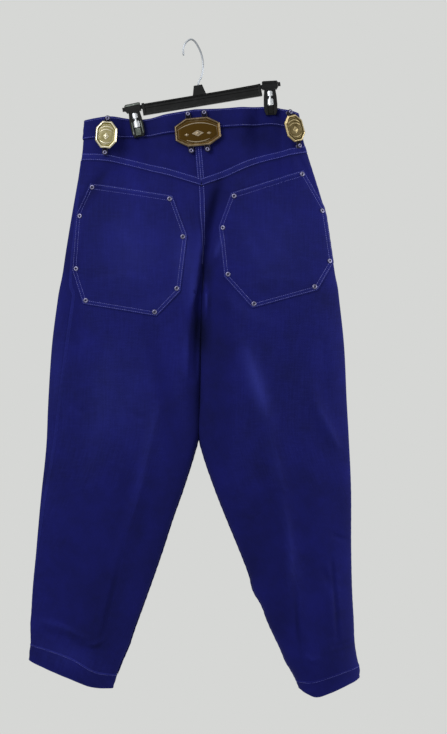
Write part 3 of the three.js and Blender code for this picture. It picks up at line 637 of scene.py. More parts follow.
def quarter_lift(q: Array, across: Array) -> Array:
    """How far a section's line lies above the straight line between its ends.

    Args:
        q: Heights at a quarter, half and three quarters of the width.
        across: Shares of the width.

    Returns:
        Heights in mm.
    """
    none = np.zeros_like(q[..., :1])
    v = np.concatenate([none, q, none], -1)
    slope = (v[..., [1, 2, 3, 4, 4]] - v[..., [0, 0, 1, 2, 3]]) / np.array([0.25, 0.5, 0.5, 0.5, 0.25])
    i = np.clip(np.ceil(across * 4).astype(int) - 1, 0, 3)

    def take(a: Array, k: Array) -> Array:
        """One column for each place."""
        return np.take_along_axis(a, k[..., None], -1)[..., 0]

    s = across * 4 - i
    start, m0, m1 = take(v, i), take(slope, i) * 0.25, take(slope, i + 1) * 0.25
    rise = take(v, i + 1) - start
    return start + s * (m0 + s * (3 * rise - 2 * m0 - m1 + s * (m0 + m1 - 2 * rise)))


PLAIN_FORM = HangingForm()
CLOTH_FORM = HangingForm(LARGE_FOLDS, SMALL_CREASES, EDGE_WAVES, uneven=1.25, lap=1.8,
                         closing=(258, 436))


def wear_and_painted_light_at(points: Array) -> Array:
    """How much paler or darker the cloth is, from its patches and from the crests of its creases.

    Args:
        points: Points of its face.

    Returns:
        How much paler it is at each of them, below 0 for painted shade.
    """
    x, z, front = points[..., 0], points[..., 2], points[..., 1] > 0
    amount = np.zeros(x.shape)
    for patch in WEAR_AND_PAINTED_LIGHT:
        amount += np.where(front == (patch.face is Face.FRONT), patch.amount(x, z), 0)
    # Crests of the small creases are paler, partly with wear and partly as painted highlights.
    for crease in SMALL_CREASES:
        if crease.height > 0:
            on_face = front == (crease.face is Face.FRONT)
            amount += np.where(on_face, 0.025 * crease.height * crease.reach(x, z), 0)
    return amount


# Finishes


def linear(code: str) -> tuple[float, float, float, float]:
    """An sRGB hex colour as linear values with an alpha of one."""
    parts = [int(code[k : k + 2], 16) / 255 for k in (1, 3, 5)]
    flat = [c / 12.92 if c <= 0.04045 else ((c + 0.055) / 1.055) ** 2.4 for c in parts]
    return (flat[0], flat[1], flat[2], 1.0)


def scales(*sizes: float) -> Triple:
    """Scales of a pattern whose cells have these sizes in mm, with 1 where none is given."""
    return tuple(1 / (size * MM) for size in sizes) + (1,) * (3 - len(sizes))


def add_node(tree: Any, kind: Any, settings: dict[Any, Any] | None = None,
             links: dict[Any, Any] | None = None) -> Any:
    """Add a node to a tree, or set one that is there.

    Args:
        tree: The node tree.
        kind: Type of the node after its prefix, or the node that is there.
        settings: Values of its inputs by name or number, or of its own properties.
        links: Outputs that feed its inputs, or nodes whose first output does, by the input's name
            or number.

    Returns:
        The node.
    """
    node = tree.nodes.new("ShaderNode" + kind) if isinstance(kind, str) else kind
    for name, value in (settings or {}).items():
        if isinstance(name, int) or name in node.inputs:
            node.inputs[name].default_value = value
        else:
            setattr(node, name, value)
    for name, output in (links or {}).items():
        tree.links.new(getattr(output, "outputs", [output])[0], node.inputs[name])
    return node


def blank_material(name: str) -> tuple[Any, Any, Any]:
    """A material with a Principled shader.

    Args:
        name: Its name.

    Returns:
        The material, the function that adds nodes to it, and the shader.
    """
    material = bpy.data.materials.new(name)
    material.use_nodes = True
    tree = material.node_tree
    return material, partial(add_node, tree), tree.nodes["Principled BSDF"]


@dataclass(frozen=True)
class WashedDenim:
    """Heavy cotton twill, dyed deep violet blue in the yarn and washed soft.

    The woven rib scatters light, so it is matt, with a faint bloom of fibres at its edges, slubs
    along the warp, and paler crests, partly from wear and partly painted highlights. Its hollows
    and creases are darkened with painted shade. The real rib is 0.6 mm wide, too fine to show here,
    so it is drawn at 2.4 mm.

    Attributes:
        name: The cloth and how it was washed.
        ground: Colour of the dyed yarn.
        pale: Colour where it is rubbed, and of the painted highlights on crests.
        deep: Colour of the darker clouds left by the dyeing.
        painted_shade: Colour of the painted shade in hollows and creases.
        bloom: Colour of the fibres that stand up.
        rib: Width of the drawn rib, in mm.
        warp_slub: Width and length of the slubs along the warp, in mm.
        weft_slub: The same along the weft, as length and width.
        cloud: Size of the clouds in the dye, in mm.
        relief: Height of the weave, in mm.
        roughness: Roughness of the cloth.
        sheen: Strength of the bloom.
    """

    name: str = "washed_denim"
    ground: str = "#0e104b"
    pale: str = "#2e3485"
    deep: str = "#0a0c39"
    painted_shade: str = "#030524"
    bloom: str = "#7a80d8"
    rib: float = 2.4
    warp_slub: Point = (3.2, 60)
    weft_slub: Point = (22, 3.0)
    cloud: float = 71.43
    relief: float = 0.35
    roughness: float = 0.9
    sheen: float = 0.07

    def build(self) -> Any:
        """Make the material.

        Returns:
            The material.
        """
        material, node, shader = blank_material(self.name)
        place = node("TexCoord")
        wave = 2 * math.pi / (self.rib * MM)
        twill = node("VectorMath", {"operation": "DOT_PRODUCT", 1: (wave * 0.82, wave * 0.57, 0)},
                     {0: place.outputs["UV"]})
        rib = node("Math", {"operation": "SINE"}, {0: twill.outputs["Value"]})
        along = node("Mapping", {"Scale": scales(*self.warp_slub)}, {"Vector": place.outputs["UV"]})
        slub = node("TexNoise", {"Scale": 1.0, "Detail": 3.0, "Roughness": 0.6}, {"Vector": along})
        weft = node("Mapping", {"Scale": scales(*self.weft_slub)}, {"Vector": place.outputs["UV"]})
        cross = node("TexNoise", {"Scale": 1.0, "Detail": 2.0, "Roughness": 0.6}, {"Vector": weft})
        cloud = node("TexNoise", {"Scale": scales(self.cloud)[0], "Detail": 7.0, "Roughness": 0.66},
                     {"Vector": place.outputs["Object"]})
        # The attribute is paler above 0 with wear and painted highlights, darker below 0 with painted
        # shade.
        wear_and_light_attribute = node("Attribute", {"attribute_name": "faded"})
        tone = node("MapRange", {"From Min": 0.3, "From Max": 0.7, "To Min": 0.0, "To Max": 1.0},
                    {"Value": cloud})
        ground = node("Mix", {"data_type": "RGBA", 6: linear(self.deep), 7: linear(self.ground)},
                      {0: tone})
        streak = node("MapRange", {"From Min": 0.35, "From Max": 0.75, "To Min": 0.0, "To Max": 0.06},
                      {"Value": slub})
        fleck = node("MapRange", {"From Min": 0.45, "From Max": 0.8, "To Min": 0.0, "To Max": 0.05},
                     {"Value": cross})
        both = node("Math", {"operation": "ADD"}, {0: streak, 1: fleck})
        total = node("Math", {"operation": "ADD", "use_clamp": True}, {0: both, 1: wear_and_light_attribute.outputs["Fac"]})
        lightened = node("Mix", {"data_type": "RGBA", 7: linear(self.pale)},
                    {0: total, 6: ground.outputs[2]})
        # Below 0 the attribute mixes in the painted shade colour, darkening hollows and creases.
        painted_shade_share = node("Math", {"operation": "MULTIPLY", 1: -1.0, "use_clamp": True},
                   {0: wear_and_light_attribute.outputs["Fac"]})
        colour = node("Mix", {"data_type": "RGBA", 7: linear(self.painted_shade)}, {0: painted_shade_share, 6: lightened.outputs[2]})
        relief = node("Math", {"operation": "MULTIPLY_ADD", 1: 0.35}, {0: rib, 2: slub})
        full = node("Math", {"operation": "MULTIPLY_ADD", 1: 0.4}, {0: cross, 2: relief})
        bump = node("Bump", {"Strength": 0.45, "Distance": self.relief * MM}, {"Height": full})
        rough = node("MapRange", {"To Min": self.roughness - 0.06, "To Max": self.roughness + 0.06},
                     {"Value": slub})
        node(shader, {"IOR": 1.45, "Specular IOR Level": 0.08, "Sheen Weight": self.sheen,
                      "Sheen Roughness": 0.35, "Sheen Tint": linear(self.bloom)},
             {"Base Color": colour.outputs[2], "Roughness": rough, "Normal": bump})
        return material


@dataclass(frozen=True)
class TopstitchThread:
    """Corespun polyester thread, spun and twisted, in a violet a shade paler than the denim.

    It is smoother than the cloth, so it catches a soft light along the top of each stitch.

    Attributes:
        name: The thread and its use.
        colour: Colour of the ply in the light.
        shade: Colour between the plies.
        ply: Length of a turn of its plies, in mm.
    """

    name: str = "topstitch_thread"
    colour: str = "#3a3f92"
    shade: str = "#20246e"
    ply: float = 1.1111

    def build(self) -> Any:
        """Make the material.

        Returns:
            The material.
        """
        material, node, shader = blank_material(self.name)
        place = node("TexCoord")
        ply = node("TexNoise", {"Scale": scales(self.ply)[0], "Detail": 2.0},
                   {"Vector": place.outputs["Object"]})
        tint = node("Mix", {"data_type": "RGBA", 6: linear(self.shade), 7: linear(self.colour)},
                    {0: ply})
        bump = node("Bump", {"Strength": 0.5, "Distance": 0.15 * MM}, {"Height": ply})
        node(shader, {"IOR": 1.55, "Roughness": 0.6, "Sheen Weight": 0.2},
             {"Base Color": tint.outputs[2], "Normal": bump})
        return material


@dataclass(frozen=True)
class CastMetal:
    """A cast metal with patina in its hollows and its bare colour on its worn crests.

    Attributes:
        name: The metal and how its surface was made.
        bare: Colour of the worn crests.
        patina: Colour of the hollows.
        roughness: Roughness of the crests.
        grain: Size of its casting grain, in mm.
        stain: Size of the blotches in its patina, in mm.
    """

    name: str
    bare: str
    patina: str
    roughness: float
    grain: float = 1.5
    stain: float = 11.111

    def build(self) -> Any:
        """Make the material.

        Returns:
            The material.
        """
        material, node, shader = blank_material(self.name)
        place = node("TexCoord")
        crest = node("Attribute", {"attribute_name": "crest"})
        grain = node("TexNoise", {"Scale": scales(self.grain)[0], "Detail": 4.0},
                     {"Vector": place.outputs["Object"]})
        stain = node("TexNoise", {"Scale": scales(self.stain)[0], "Detail": 3.0},
                     {"Vector": place.outputs["Object"]})
        uneven = node("Math", {"operation": "MULTIPLY_ADD", 1: 0.4, 2: -0.21}, {0: stain})
        share = node("Math", {"operation": "ADD", "use_clamp": True},
                     {0: crest.outputs["Fac"], 1: uneven})
        colour = node("Mix", {"data_type": "RGBA", 6: linear(self.patina), 7: linear(self.bare)},
                      {0: share})
        rough = node("MapRange", {"To Min": self.roughness + 0.22, "To Max": self.roughness},
                     {"Value": share})
        bump = node("Bump", {"Strength": 0.35, "Distance": 0.12 * MM}, {"Height": grain})
        node(shader, {"Metallic": 1.0},
             {"Base Color": colour.outputs[2], "Roughness": rough, "Normal": bump})
        return material


@dataclass(frozen=True)
class MouldedPlastic:
    """Black polystyrene, injection moulded with a fine even grain.

    It is glossy at its edges and broken up by the grain and by rubbing on its flats.

    Attributes:
        name: The plastic and its state.
        colour: Colour of its flats.
        rubbed: Colour where it is rubbed.
        roughness: Roughness where it is not.
        grain: Size of its grain, in mm.
        rub: Size of the rubbed spots, in mm.
    """

    name: str = "black_polystyrene"
    colour: str = "#0b0c0c"
    rubbed: str = "#141416"
    roughness: float = 0.30
    grain: float = 0.71429
    rub: float = 16.667

    def build(self) -> Any:
        """Make the material.

        Returns:
            The material.
        """
        material, node, shader = blank_material(self.name)
        place = node("TexCoord")
        grain = node("TexNoise", {"Scale": scales(self.grain)[0], "Detail": 2.0},
                     {"Vector": place.outputs["Object"]})
        rub = node("TexNoise", {"Scale": scales(self.rub)[0], "Detail": 5.0, "Roughness": 0.7},
                   {"Vector": place.outputs["Object"]})
        scuff = node("MapRange", {"From Min": 0.5, "From Max": 0.75}, {"Value": rub})
        colour = node("Mix", {"data_type": "RGBA", 6: linear(self.colour), 7: linear(self.rubbed)},
                      {0: scuff})
        rough = node("MapRange", {"To Min": self.roughness, "To Max": self.roughness + 0.2},
                     {"Value": rub})
        bump = node("Bump", {"Strength": 0.25, "Distance": 0.05 * MM}, {"Height": grain})
        node(shader, {"IOR": 1.59, "Specular IOR Level": 0.11},
             {"Base Color": colour.outputs[2], "Roughness": rough, "Normal": bump})
        return material


@dataclass(frozen=True)
class PlatedSteel:
    """Spring steel, drawn or rolled and then plated.

    It mirrors softly, with hairline scratches along it.

    Attributes:
        name: The plating and the steel under it.
        colour: Colour where it is bright.
        dull: Colour where it is dull.
        roughness: Roughness between its scratches.
        hairline: Width, depth and length of its scratches, in mm, drawn wider than they are.
        cloud: Size of the clouds in its plating, in mm.
    """

    name: str
    colour: str
    dull: str
    roughness: float
    hairline: Triple = (1.1111, 1.1111, 8.3333)
    cloud: float = 6.6667

    def build(self) -> Any:
        """Make the material.

        Returns:
            The material.
        """
        material, node, shader = blank_material(self.name)
        place = node("TexCoord")
        stretch = node("Mapping", {"Scale": scales(*self.hairline)},
                       {"Vector": place.outputs["Object"]})
        hair = node("TexNoise", {"Scale": 1.0, "Detail": 3.0}, {"Vector": stretch})
        cloud = node("TexNoise", {"Scale": scales(self.cloud)[0], "Detail": 2.0},
                     {"Vector": place.outputs["Object"]})
        colour = node("Mix", {"data_type": "RGBA", 6: linear(self.colour), 7: linear(self.dull)},
                      {0: cloud})
        rough = node("MapRange", {"To Min": self.roughness, "To Max": self.roughness + 0.2},
                     {"Value": hair})
        bump = node("Bump", {"Strength": 0.06, "Distance": 0.03 * MM}, {"Height": hair})
        node(shader, {"Metallic": 1.0},
             {"Base Color": colour.outputs[2], "Roughness": rough, "Normal": bump})
        return material


@dataclass(frozen=True)
class StudioPaper:
    """Seamless studio paper, calendered and matt, pale grey with a hardly visible fibre.

    Attributes:
        name: The paper.
        colour: Its colour.
        fibre: Size of its fibres' tangle, in mm.
    """

    name: str = "studio_paper"
    colour: str = "#d6d7d5"
    fibre: float = 4.1667

    def build(self) -> Any:
        """Make the material.

        Returns:
            The material.
        """
        material, node, shader = blank_material(self.name)
        place = node("TexCoord")
        fibre = node("TexNoise", {"Scale": scales(self.fibre)[0], "Detail": 3.0},
                     {"Vector": place.outputs["Object"]})
        bump = node("Bump", {"Strength": 0.1, "Distance": 0.2 * MM}, {"Height": fibre})
        node(shader, {"Base Color": linear(self.colour), "Roughness": 0.9}, {"Normal": bump})
        return material


@dataclass
class Finishes:
    """The finishes of the whole object, each made once.

    Attributes:
        denim: Cloth of every panel and band.
        thread: Topstitching.
        pale_brass: Left plate.
        dark_brass: Right plate and the waist button.
        bronze: Centre plate.
        antique: Ring rivets, and the straps and rivets of the plates.
        plastic: Hanger's bar and the jaws of its clips.
        painted_highlight_plastic: Pale grey plastic, a painted highlight on the left clip's lip, rail
            edges and tongue.
        wire: Hanger's hook.
        spring: Springs of the clips.
    """

    denim: Any = field(default_factory=WashedDenim().build)
    thread: Any = field(default_factory=TopstitchThread().build)
    pale_brass: Any = field(default_factory=CastMetal(
        "cast_pale_brass", "#cfc8b0", "#575024", 0.30).build)
    dark_brass: Any = field(default_factory=CastMetal(
        "cast_dark_brass", "#a3946f", "#30260d", 0.34).build)
    bronze: Any = field(default_factory=CastMetal("cast_bronze", "#a3957f", "#39290e", 0.26).build)
    antique: Any = field(default_factory=CastMetal(
        "antique_nickel", "#6b6a84", "#100e16", 0.46, 0.8).build)
    plastic: Any = field(default_factory=MouldedPlastic().build)
    # Pale grey plastic, a painted highlight on the left clip.
    painted_highlight_plastic: Any = field(default_factory=MouldedPlastic(
        "polystyrene_painted_highlight", "#4b514c", "#9ca19d").build)
    wire: Any = field(default_factory=PlatedSteel(
        "zinc_plated_steel", "#8e9297", "#6d7177", 0.32).build)
    spring: Any = field(default_factory=PlatedSteel(
        "nickel_plated_spring_steel", "#d2d5d8", "#a3a7ab", 0.34).build)


# Mesh building


def facing_out(mesh: Any) -> None:
    """Turn the faces of closed pieces outward.

    Args:
        mesh: The Blender mesh, changed in place.
    """
    work = bmesh.new()
    work.from_mesh(mesh)
    bmesh.ops.recalc_face_normals(work, faces=work.faces)
    work.to_mesh(mesh)
    work.free()


def placed(name: str, data: Any) -> Any:
    """A new object in the scene."""
    thing = bpy.data.objects.new(name, data)
    bpy.context.scene.collection.objects.link(thing)
    return thing


@dataclass
class MeshData:
    """Points in mm and faces of a mesh, with values for its points.

    Attributes:
        points: Points in mm.
        faces: Faces as tuples of point numbers.
        grain: Place of each point on the flat cloth, in mm, where it has one.
        values: Further values of the points by name.
    """

    points: Array
    faces: list[tuple[int, ...]]
    grain: Array | None = None
    values: dict[str, Array] = field(default_factory=dict)

    def joined(self, other: "MeshData") -> "MeshData":
        """This mesh and another as one.

        Args:
            other: The other mesh, with the same values.

        Returns:
            The joined mesh.
        """
        start = len(self.points)
        faces = self.faces + [tuple(k + start for k in face) for face in other.faces]
        grain = None
        if self.grain is not None and other.grain is not None:
            grain = np.concatenate([self.grain, other.grain])
        values = {name: np.concatenate([v, other.values[name]]) for name, v in self.values.items()}
        return MeshData(np.concatenate([self.points, other.points]), faces, grain, values)

    def moved(self, matrix: Matrix) -> "MeshData":
        """This mesh after a transform."""
        m = np.array(matrix)
        return MeshData(self.points @ m[:3, :3].T + m[:3, 3], self.faces, self.grain, self.values)

    def build(self, name: str, material: Any, flat: bool = False) -> Any:
        """Make the Blender object and ride it on the body.

        Args:
            name: Name of the piece.
            material: Its material.
            flat: Whether its facets stay flat.

        Returns:
            The object.
        """
        mesh = bpy.data.meshes.new(name)
        mesh.from_pydata((self.points * MM).tolist(), [], self.faces)
        mesh.materials.append(material)
        if self.grain is not None:
            layer = mesh.uv_layers.new(name="grain")
            corners = np.zeros(len(mesh.loops), np.int32)
            mesh.loops.foreach_get("vertex_index", corners)
            layer.data.foreach_set("uv", (self.grain[corners] * MM).astype(np.float32).ravel())
        for label, values in self.values.items():
            attribute = mesh.attributes.new(label, "FLOAT", "POINT")
            attribute.data.foreach_set("value", np.asarray(values, np.float32))
        if flat:
            mesh.shade_flat()
        else:
            mesh.shade_smooth()
        mesh.validate()
        mesh.update()
        facing_out(mesh)
        piece = placed(name, mesh)
        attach(piece, "root")
        return piece


def grid_faces(rows: int, columns: int, start: int = 0, ring: bool = False,
               flip: bool = False) -> list[tuple[int, ...]]:
    """Quads of a grid of points.

    Args:
        rows: Number of rows.
        columns: Number of columns.
        start: Number of the first point.
        ring: Whether the last column joins the first.
        flip: Whether the faces look the other way.

    Returns:
        The quads.
    """
    i = np.arange(columns if ring else columns - 1)
    j = np.arange(rows - 1)
    jj, ii = np.meshgrid(j, i, indexing="ij")
    nxt = (ii + 1) % columns
    quads = np.stack([jj * columns + ii, jj * columns + nxt, (jj + 1) * columns + nxt,
                      (jj + 1) * columns + ii], -1).reshape(-1, 4) + start
    if flip:
        quads = quads[:, ::-1]
    return [tuple(q) for q in quads.tolist()]


def closed_faces(rings: int, sides: int) -> list[tuple[int, ...]]:
    """Faces of a tube through rings of points, with a cap at each end."""
    caps = [tuple(range(sides))[::-1], tuple(range((rings - 1) * sides, rings * sides))]
    return grid_faces(rings, sides, 0, True) + caps


def tube(rings: Array, crest: Any = None) -> MeshData:
    """A closed tube.

    Args:
        rings: Points by ring and by place round it.
        crest: How bare the metal is worn at each of them, where it has a patina.

    Returns:
        The mesh.
    """
    shape = rings.shape[:2]
    values = {} if crest is None else {"crest": np.broadcast_to(crest, shape).ravel()}
    return MeshData(rings.reshape(-1, 3), closed_faces(*shape), None, values)


def raised(outlines: Sequence[Array], profile: Sequence[Triple]) -> MeshData:
    """A flat casting that rises from outline to outline.

    Args:
        outlines: Outlines as rows of x and y, one for each row of the profile.
        profile: Rows of a size, a height and how bare the metal is worn.

    Returns:
        The mesh.
    """
    rings = [np.column_stack([flat, np.full(len(flat), height)])
             for flat, (_, height, _) in zip(outlines, profile)]
    return tube(np.stack(rings), [[crest] for *_, crest in profile])


def together(meshes: Iterable[MeshData]) -> MeshData:
    """Several meshes as one.

    Args:
        meshes: The meshes, all with the same values.

    Returns:
        The joined mesh.
    """
    whole, *others = meshes
    for mesh in others:
        whole = whole.joined(mesh)
    return whole


def shell(points: Array, normals: Array, out: Any, into: Any, grain: Array, faded: Array,
          ring: bool = False) -> MeshData:
    """A closed shell of cloth on a grid of points.

    Args:
        points: Grid of points of the form.
        normals: Outward directions there.
        out: How far the outer face stands out.
        into: How far the inner face stands out, less than out.
        grain: Places on the flat cloth.
        faded: How much paler each point is, below 0 for painted shade.
        ring: Whether the last column joins the first.

    Returns:
        The mesh.
    """
    rows, columns = points.shape[:2]
    outer = points + normals * np.broadcast_to(out, (rows, columns))[..., None]
    inner = points + normals * np.broadcast_to(into, (rows, columns))[..., None]
    count = rows * columns
    faces = grid_faces(rows, columns, 0, ring) + grid_faces(rows, columns, count, ring, True)

    def rim(edge: Array, flip: bool, closed: bool) -> None:
        """Join the two layers along an edge.

        Args:
            edge: Numbers of the outer layer's points along it.
            flip: Whether the faces turn the other way.
            closed: Whether the last point joins the first.
        """
        nxt = np.roll(edge, -1) if closed else edge[1:]
        for a, b in zip(edge.tolist(), nxt.tolist()):
            quad = (a, a + count, b + count, b)
            faces.append(quad[::-1] if flip else quad)

    number = np.arange(count).reshape(rows, columns)
    rim(number[0], False, ring)
    rim(number[-1], True, ring)
    if not ring:
        rim(number[:, 0], True, False)
        rim(number[:, -1], False, False)
    both = np.concatenate([outer.reshape(-1, 3), inner.reshape(-1, 3)])
    flat = np.concatenate([grain.reshape(-1, 2)] * 2)
    return MeshData(both, faces, flat, {"faded": np.concatenate([faded.ravel()] * 2)})


def rows_length(points: Array) -> Array:
    """Length along each row of a grid, from its first point."""
    steps = np.linalg.norm(np.diff(points, axis=1), axis=-1)
    return np.concatenate([np.zeros((len(points), 1)), np.cumsum(steps, 1)], 1)


def levels_between(start: float, end: float, step: float, edge: float = 1.2) -> Array:
    """Levels of a piece's rows, closer together at its two edges.

    Args:
        start: Level of its first row.
        end: Level of its last row.
        step: About how far apart its middle rows are.
        edge: Width of the strip at each edge with closer rows.

    Returns:
        The levels, from start to end.
    """
    count = max(2, round((end - start) / step))
    middle = np.linspace(start + edge * 2, end - edge * 2, count)
    return np.concatenate([[start, start + edge * 0.4, start + edge], middle,
                           [end - edge, end - edge * 0.4, end]])


def edge_roll(distance: Array, reach: float = 1.2) -> Array:
    """How far a shell keeps its thickness at a distance from its edge, from 0 to 1."""
    return round_off(distance / reach)


@dataclass
class Path:
    """A line on the cloth.

    Attributes:
        points: Its points, in mm.
        normals: The outward directions there.
        closed: Whether its end meets its start.
    """

    points: Array
    normals: Array
    closed: bool = False

    @property
    def tangents(self) -> Array:
        """Directions along the line."""
        if self.closed:
            return unit(np.roll(self.points, -1, 0) - np.roll(self.points, 1, 0))
        return unit(np.gradient(self.points, axis=0))

    @property
    def lengths(self) -> Array:
        """Length from the start to each point."""
        steps = np.linalg.norm(np.diff(self.points, axis=0), axis=1)
        return np.concatenate([[0], np.cumsum(steps)])

    def shifted(self, side: float, height: float = 0.0) -> "Path":
        """The line moved sideways over the cloth and out from it.

        Args:
            side: Distance to its left, seen from outside with the line running up.
            height: Distance out.

        Returns:
            The moved line.
        """
        across = unit(np.cross(self.normals, self.tangents))
        return Path(self.points + across * side + self.normals * height, self.normals, self.closed)

    def resampled(self, pitch: float) -> "Path":
        """The line with points at an even pitch.

        Args:
            pitch: Distance from point to point, in mm.

        Returns:
            The new line.
        """
        points, normals = self.points, self.normals
        if self.closed:
            points = np.concatenate([points, points[:1]])
            normals = np.concatenate([normals, normals[:1]])
        at = Path(points, normals).lengths
        count = max(3, round(at[-1] / pitch))
        t = np.linspace(0, at[-1], count + 1)
        if self.closed:
            t = t[:-1]
        read = [np.interp(t, at, source[:, k]) for source in (points, normals) for k in range(3)]
        return Path(np.stack(read[:3], -1), unit(np.stack(read[3:], -1)), self.closed)


@dataclass(frozen=True)
class Topstitch:
    """A row of stitches. Real thread is 0.6 mm thick, and is drawn at 0.8 mm so that it shows.

    Attributes:
        pitch: Distance from stitch to stitch, in mm.
        length: Length of a stitch.
        width: Thickness of the thread.
        rise: How far a stitch stands out.
    """

    pitch: float = 3.6
    length: float = 3.1
    width: float = 0.8
    rise: float = 0.36

    def mesh(self, path: Path) -> MeshData:
        """Stitches along a line, half sunk in the cloth.

        Args:
            path: The line they follow.

        Returns:
            The mesh.
        """
        run = path.resampled(self.pitch)
        along, out = run.tangents, run.normals
        side = unit(np.cross(out, along))
        out = unit(np.cross(along, side))
        sides, stations = 6, ((-0.5, 0.35, -0.5), (-0.3, 1.0, 0.5), (0.3, 1.0, 0.5), (0.5, 0.35, -0.5))
        angles = np.arange(sides) / sides * 2 * np.pi
        rings = []
        for where, size, lift in stations:
            for angle in angles:
                rings.append(run.points + along * (where * self.length)
                             + side * (self.width / 2 * size * math.cos(angle))
                             + out * (self.rise * size * math.sin(angle) + lift * self.rise * 0.6))
        points = np.stack(rings, 1)
        one, count = closed_faces(len(stations), sides), points.shape[1]
        faces = [tuple(n + k * count for n in face) for k in range(len(points)) for face in one]
        return MeshData(points.reshape(-1, 3), faces)


@dataclass(frozen=True)
class FelledSeam:
    """A flat-felled seam: a raised band of folded cloth with a row of stitches near each side.

    Attributes:
        half: Half of its width.
        rise: How far it stands out.
        inset: Distance of its stitches from its sides.
        pucker: Share by which the band swells between the pulls of the thread.
        pale: How much paler its ridges are than the cloth.
        sink: Length over which it sinks away at its end.
    """

    half: float = 6.6
    rise: float = 1.1
    inset: float = 1.8
    pucker: float = 0.3
    pale: float = 0.16
    sink: float = 0.1

    def mesh(self, path: Path) -> MeshData:
        """The band over a line.

        Args:
            path: Middle of the seam.

        Returns:
            The mesh.
        """
        run = path.resampled(2.0)
        side = unit(np.cross(run.normals, run.tangents))
        s = np.arange(len(run.points)) * 2.0
        swell = 1 + self.pucker * (0.6 * np.sin(s / 2.1) + 0.4 * np.sin(s / 3.7 + 1))
        swell = swell * smooth(0, self.sink, s[-1] + 0.02 - s)
        w, h, g, pale = self.half, self.rise, self.half - self.inset, self.pale
        profile = ((-w, -0.5, 0), (-w * 0.98, 0.45 * h, pale), (-w * 0.88, 0.9 * h, pale),
                   (-g, 0.62 * h, 0), (-g * 0.6, h, 0.3 * pale), (g * 0.6, h, 0.3 * pale),
                   (g, 0.62 * h, 0), (w * 0.88, 0.9 * h, pale), (w * 0.98, 0.45 * h, pale), (w, -0.5, 0))
        grid = [run.points + side * a + run.normals * (max(b, 0) * swell + min(b, 0))[:, None]
                for a, b, _ in profile]
        points = np.stack(grid, 1)
        rows, columns = points.shape[:2]
        faded = np.broadcast_to(np.array([f for *_, f in profile]), (rows, columns)) * swell[:, None]
        grain = np.stack([np.broadcast_to([a for a, *_ in profile], (rows, columns)),
                          np.broadcast_to(s[:, None], (rows, columns))], -1)
        return MeshData(points.reshape(-1, 3), closed_faces(rows, columns), grain.reshape(-1, 2),
                        {"faded": faded.ravel()})


def lathe(profile: Sequence[Triple], sides: int) -> MeshData:
    """A turned piece about its own z axis.

    Args:
        profile: Rows of radius, height and crest value, from the axis round to the axis.
        sides: Number of sides.

    Returns:
        The mesh.
    """
    angles = np.arange(sides) / sides * 2 * np.pi
    radius, height, crest = (np.array(column) for column in zip(*profile))
    points = np.stack([radius[:, None] * np.cos(angles), radius[:, None] * np.sin(angles),
                       np.broadcast_to(height[:, None], (len(profile), sides))], -1)
    return tube(points, crest[:, None])


def prism(outline: Sequence[Point], back: float, face: float, ease: float = 0.35) -> MeshData:
    """A flat piece with its front edge eased.

    Args:
        outline: Its corners, as x and z.
        back: Depth of its back.
        face: Depth of its face, less than its back.
        ease: Width of the eased edge.

    Returns:
        The mesh.
    """
    corners = np.array(outline, float)
    middle = corners.mean(0)
    size = np.linalg.norm(corners - middle, axis=1, keepdims=True)
    eased = middle + (corners - middle) * (1 - ease / size)
    rings = [np.column_stack([ring[:, 0], np.full(len(ring), depth), ring[:, 1]])
             for ring, depth in ((corners, back), (corners, face + ease), (eased, face))]
    return tube(np.stack(rings))


def mirrored(mesh: MeshData) -> MeshData:
    """A mesh mirrored across x = 0."""
    return MeshData(mesh.points * (-1, 1, 1), [face[::-1] for face in mesh.faces])


def standing(point: Array, out: Array) -> Matrix:
    """Transform that stands a turned piece on a point, with its z axis outward."""
    turn = Vector(out).to_track_quat("Z", "Y").to_matrix().to_4x4()
    return Matrix.Translation(Vector(point)) @ turn


# The jeans


@dataclass
class Sewing:
    """Collects the stitches and felled seams of one sub-assembly, and makes them as two pieces.

    Attributes:
        name: The sub-assembly.
        finishes: The finishes.
        stitches: Its rows of stitches.
        bands: The bands of its felled seams.
    """

    name: str
    finishes: Finishes
    stitches: list[MeshData] = field(default_factory=list)
    bands: list[MeshData] = field(default_factory=list)

    def row(self, path: Path, stitch: Topstitch = Topstitch()) -> None:
        """Add a row of stitches."""
        self.stitches.append(stitch.mesh(path))

    def felled(self, path: Path, seam: FelledSeam = FelledSeam(),
               sides: tuple[int, ...] = (-1, 1)) -> None:
        """Add a felled seam with its rows of stitches.

        Args:
            path: Middle of the seam.
            seam: Its sizes.
            sides: Sides with a row of stitches.
        """
        self.bands.append(seam.mesh(path))
        for side in sides:
            self.row(path.shifted(side * (seam.half - seam.inset), seam.rise * 0.6))

    def build(self) -> list[Any]:
        """Make the pieces.

        Returns:
            The pieces.
        """
        made = []
        for label, meshes, material in (("stitches", self.stitches, self.finishes.thread),
                                        ("felled_seams", self.bands, self.finishes.denim)):
            if meshes:
                piece = together(meshes).build(f"{self.name}_{label}", material)
                made.append(piece)
        return made


def level_path(half: Half, level: float, start: float, end: float) -> Path:
    """Line round a half at one level, between two turns."""
    return Path(*CLOTH_FORM.surface(half, np.linspace(start, end, 160), level))


def down_path(half: Half, turn: float | None, start: float, end: float) -> Path:
    """Line down a half between two levels, at a turn or along the side seam."""
    levels = np.linspace(start, end, max(12, int(abs(end - start) / 4)))
    return Path(*CLOTH_FORM.surface(half, half.side_turn(levels) if turn is None else turn, levels))


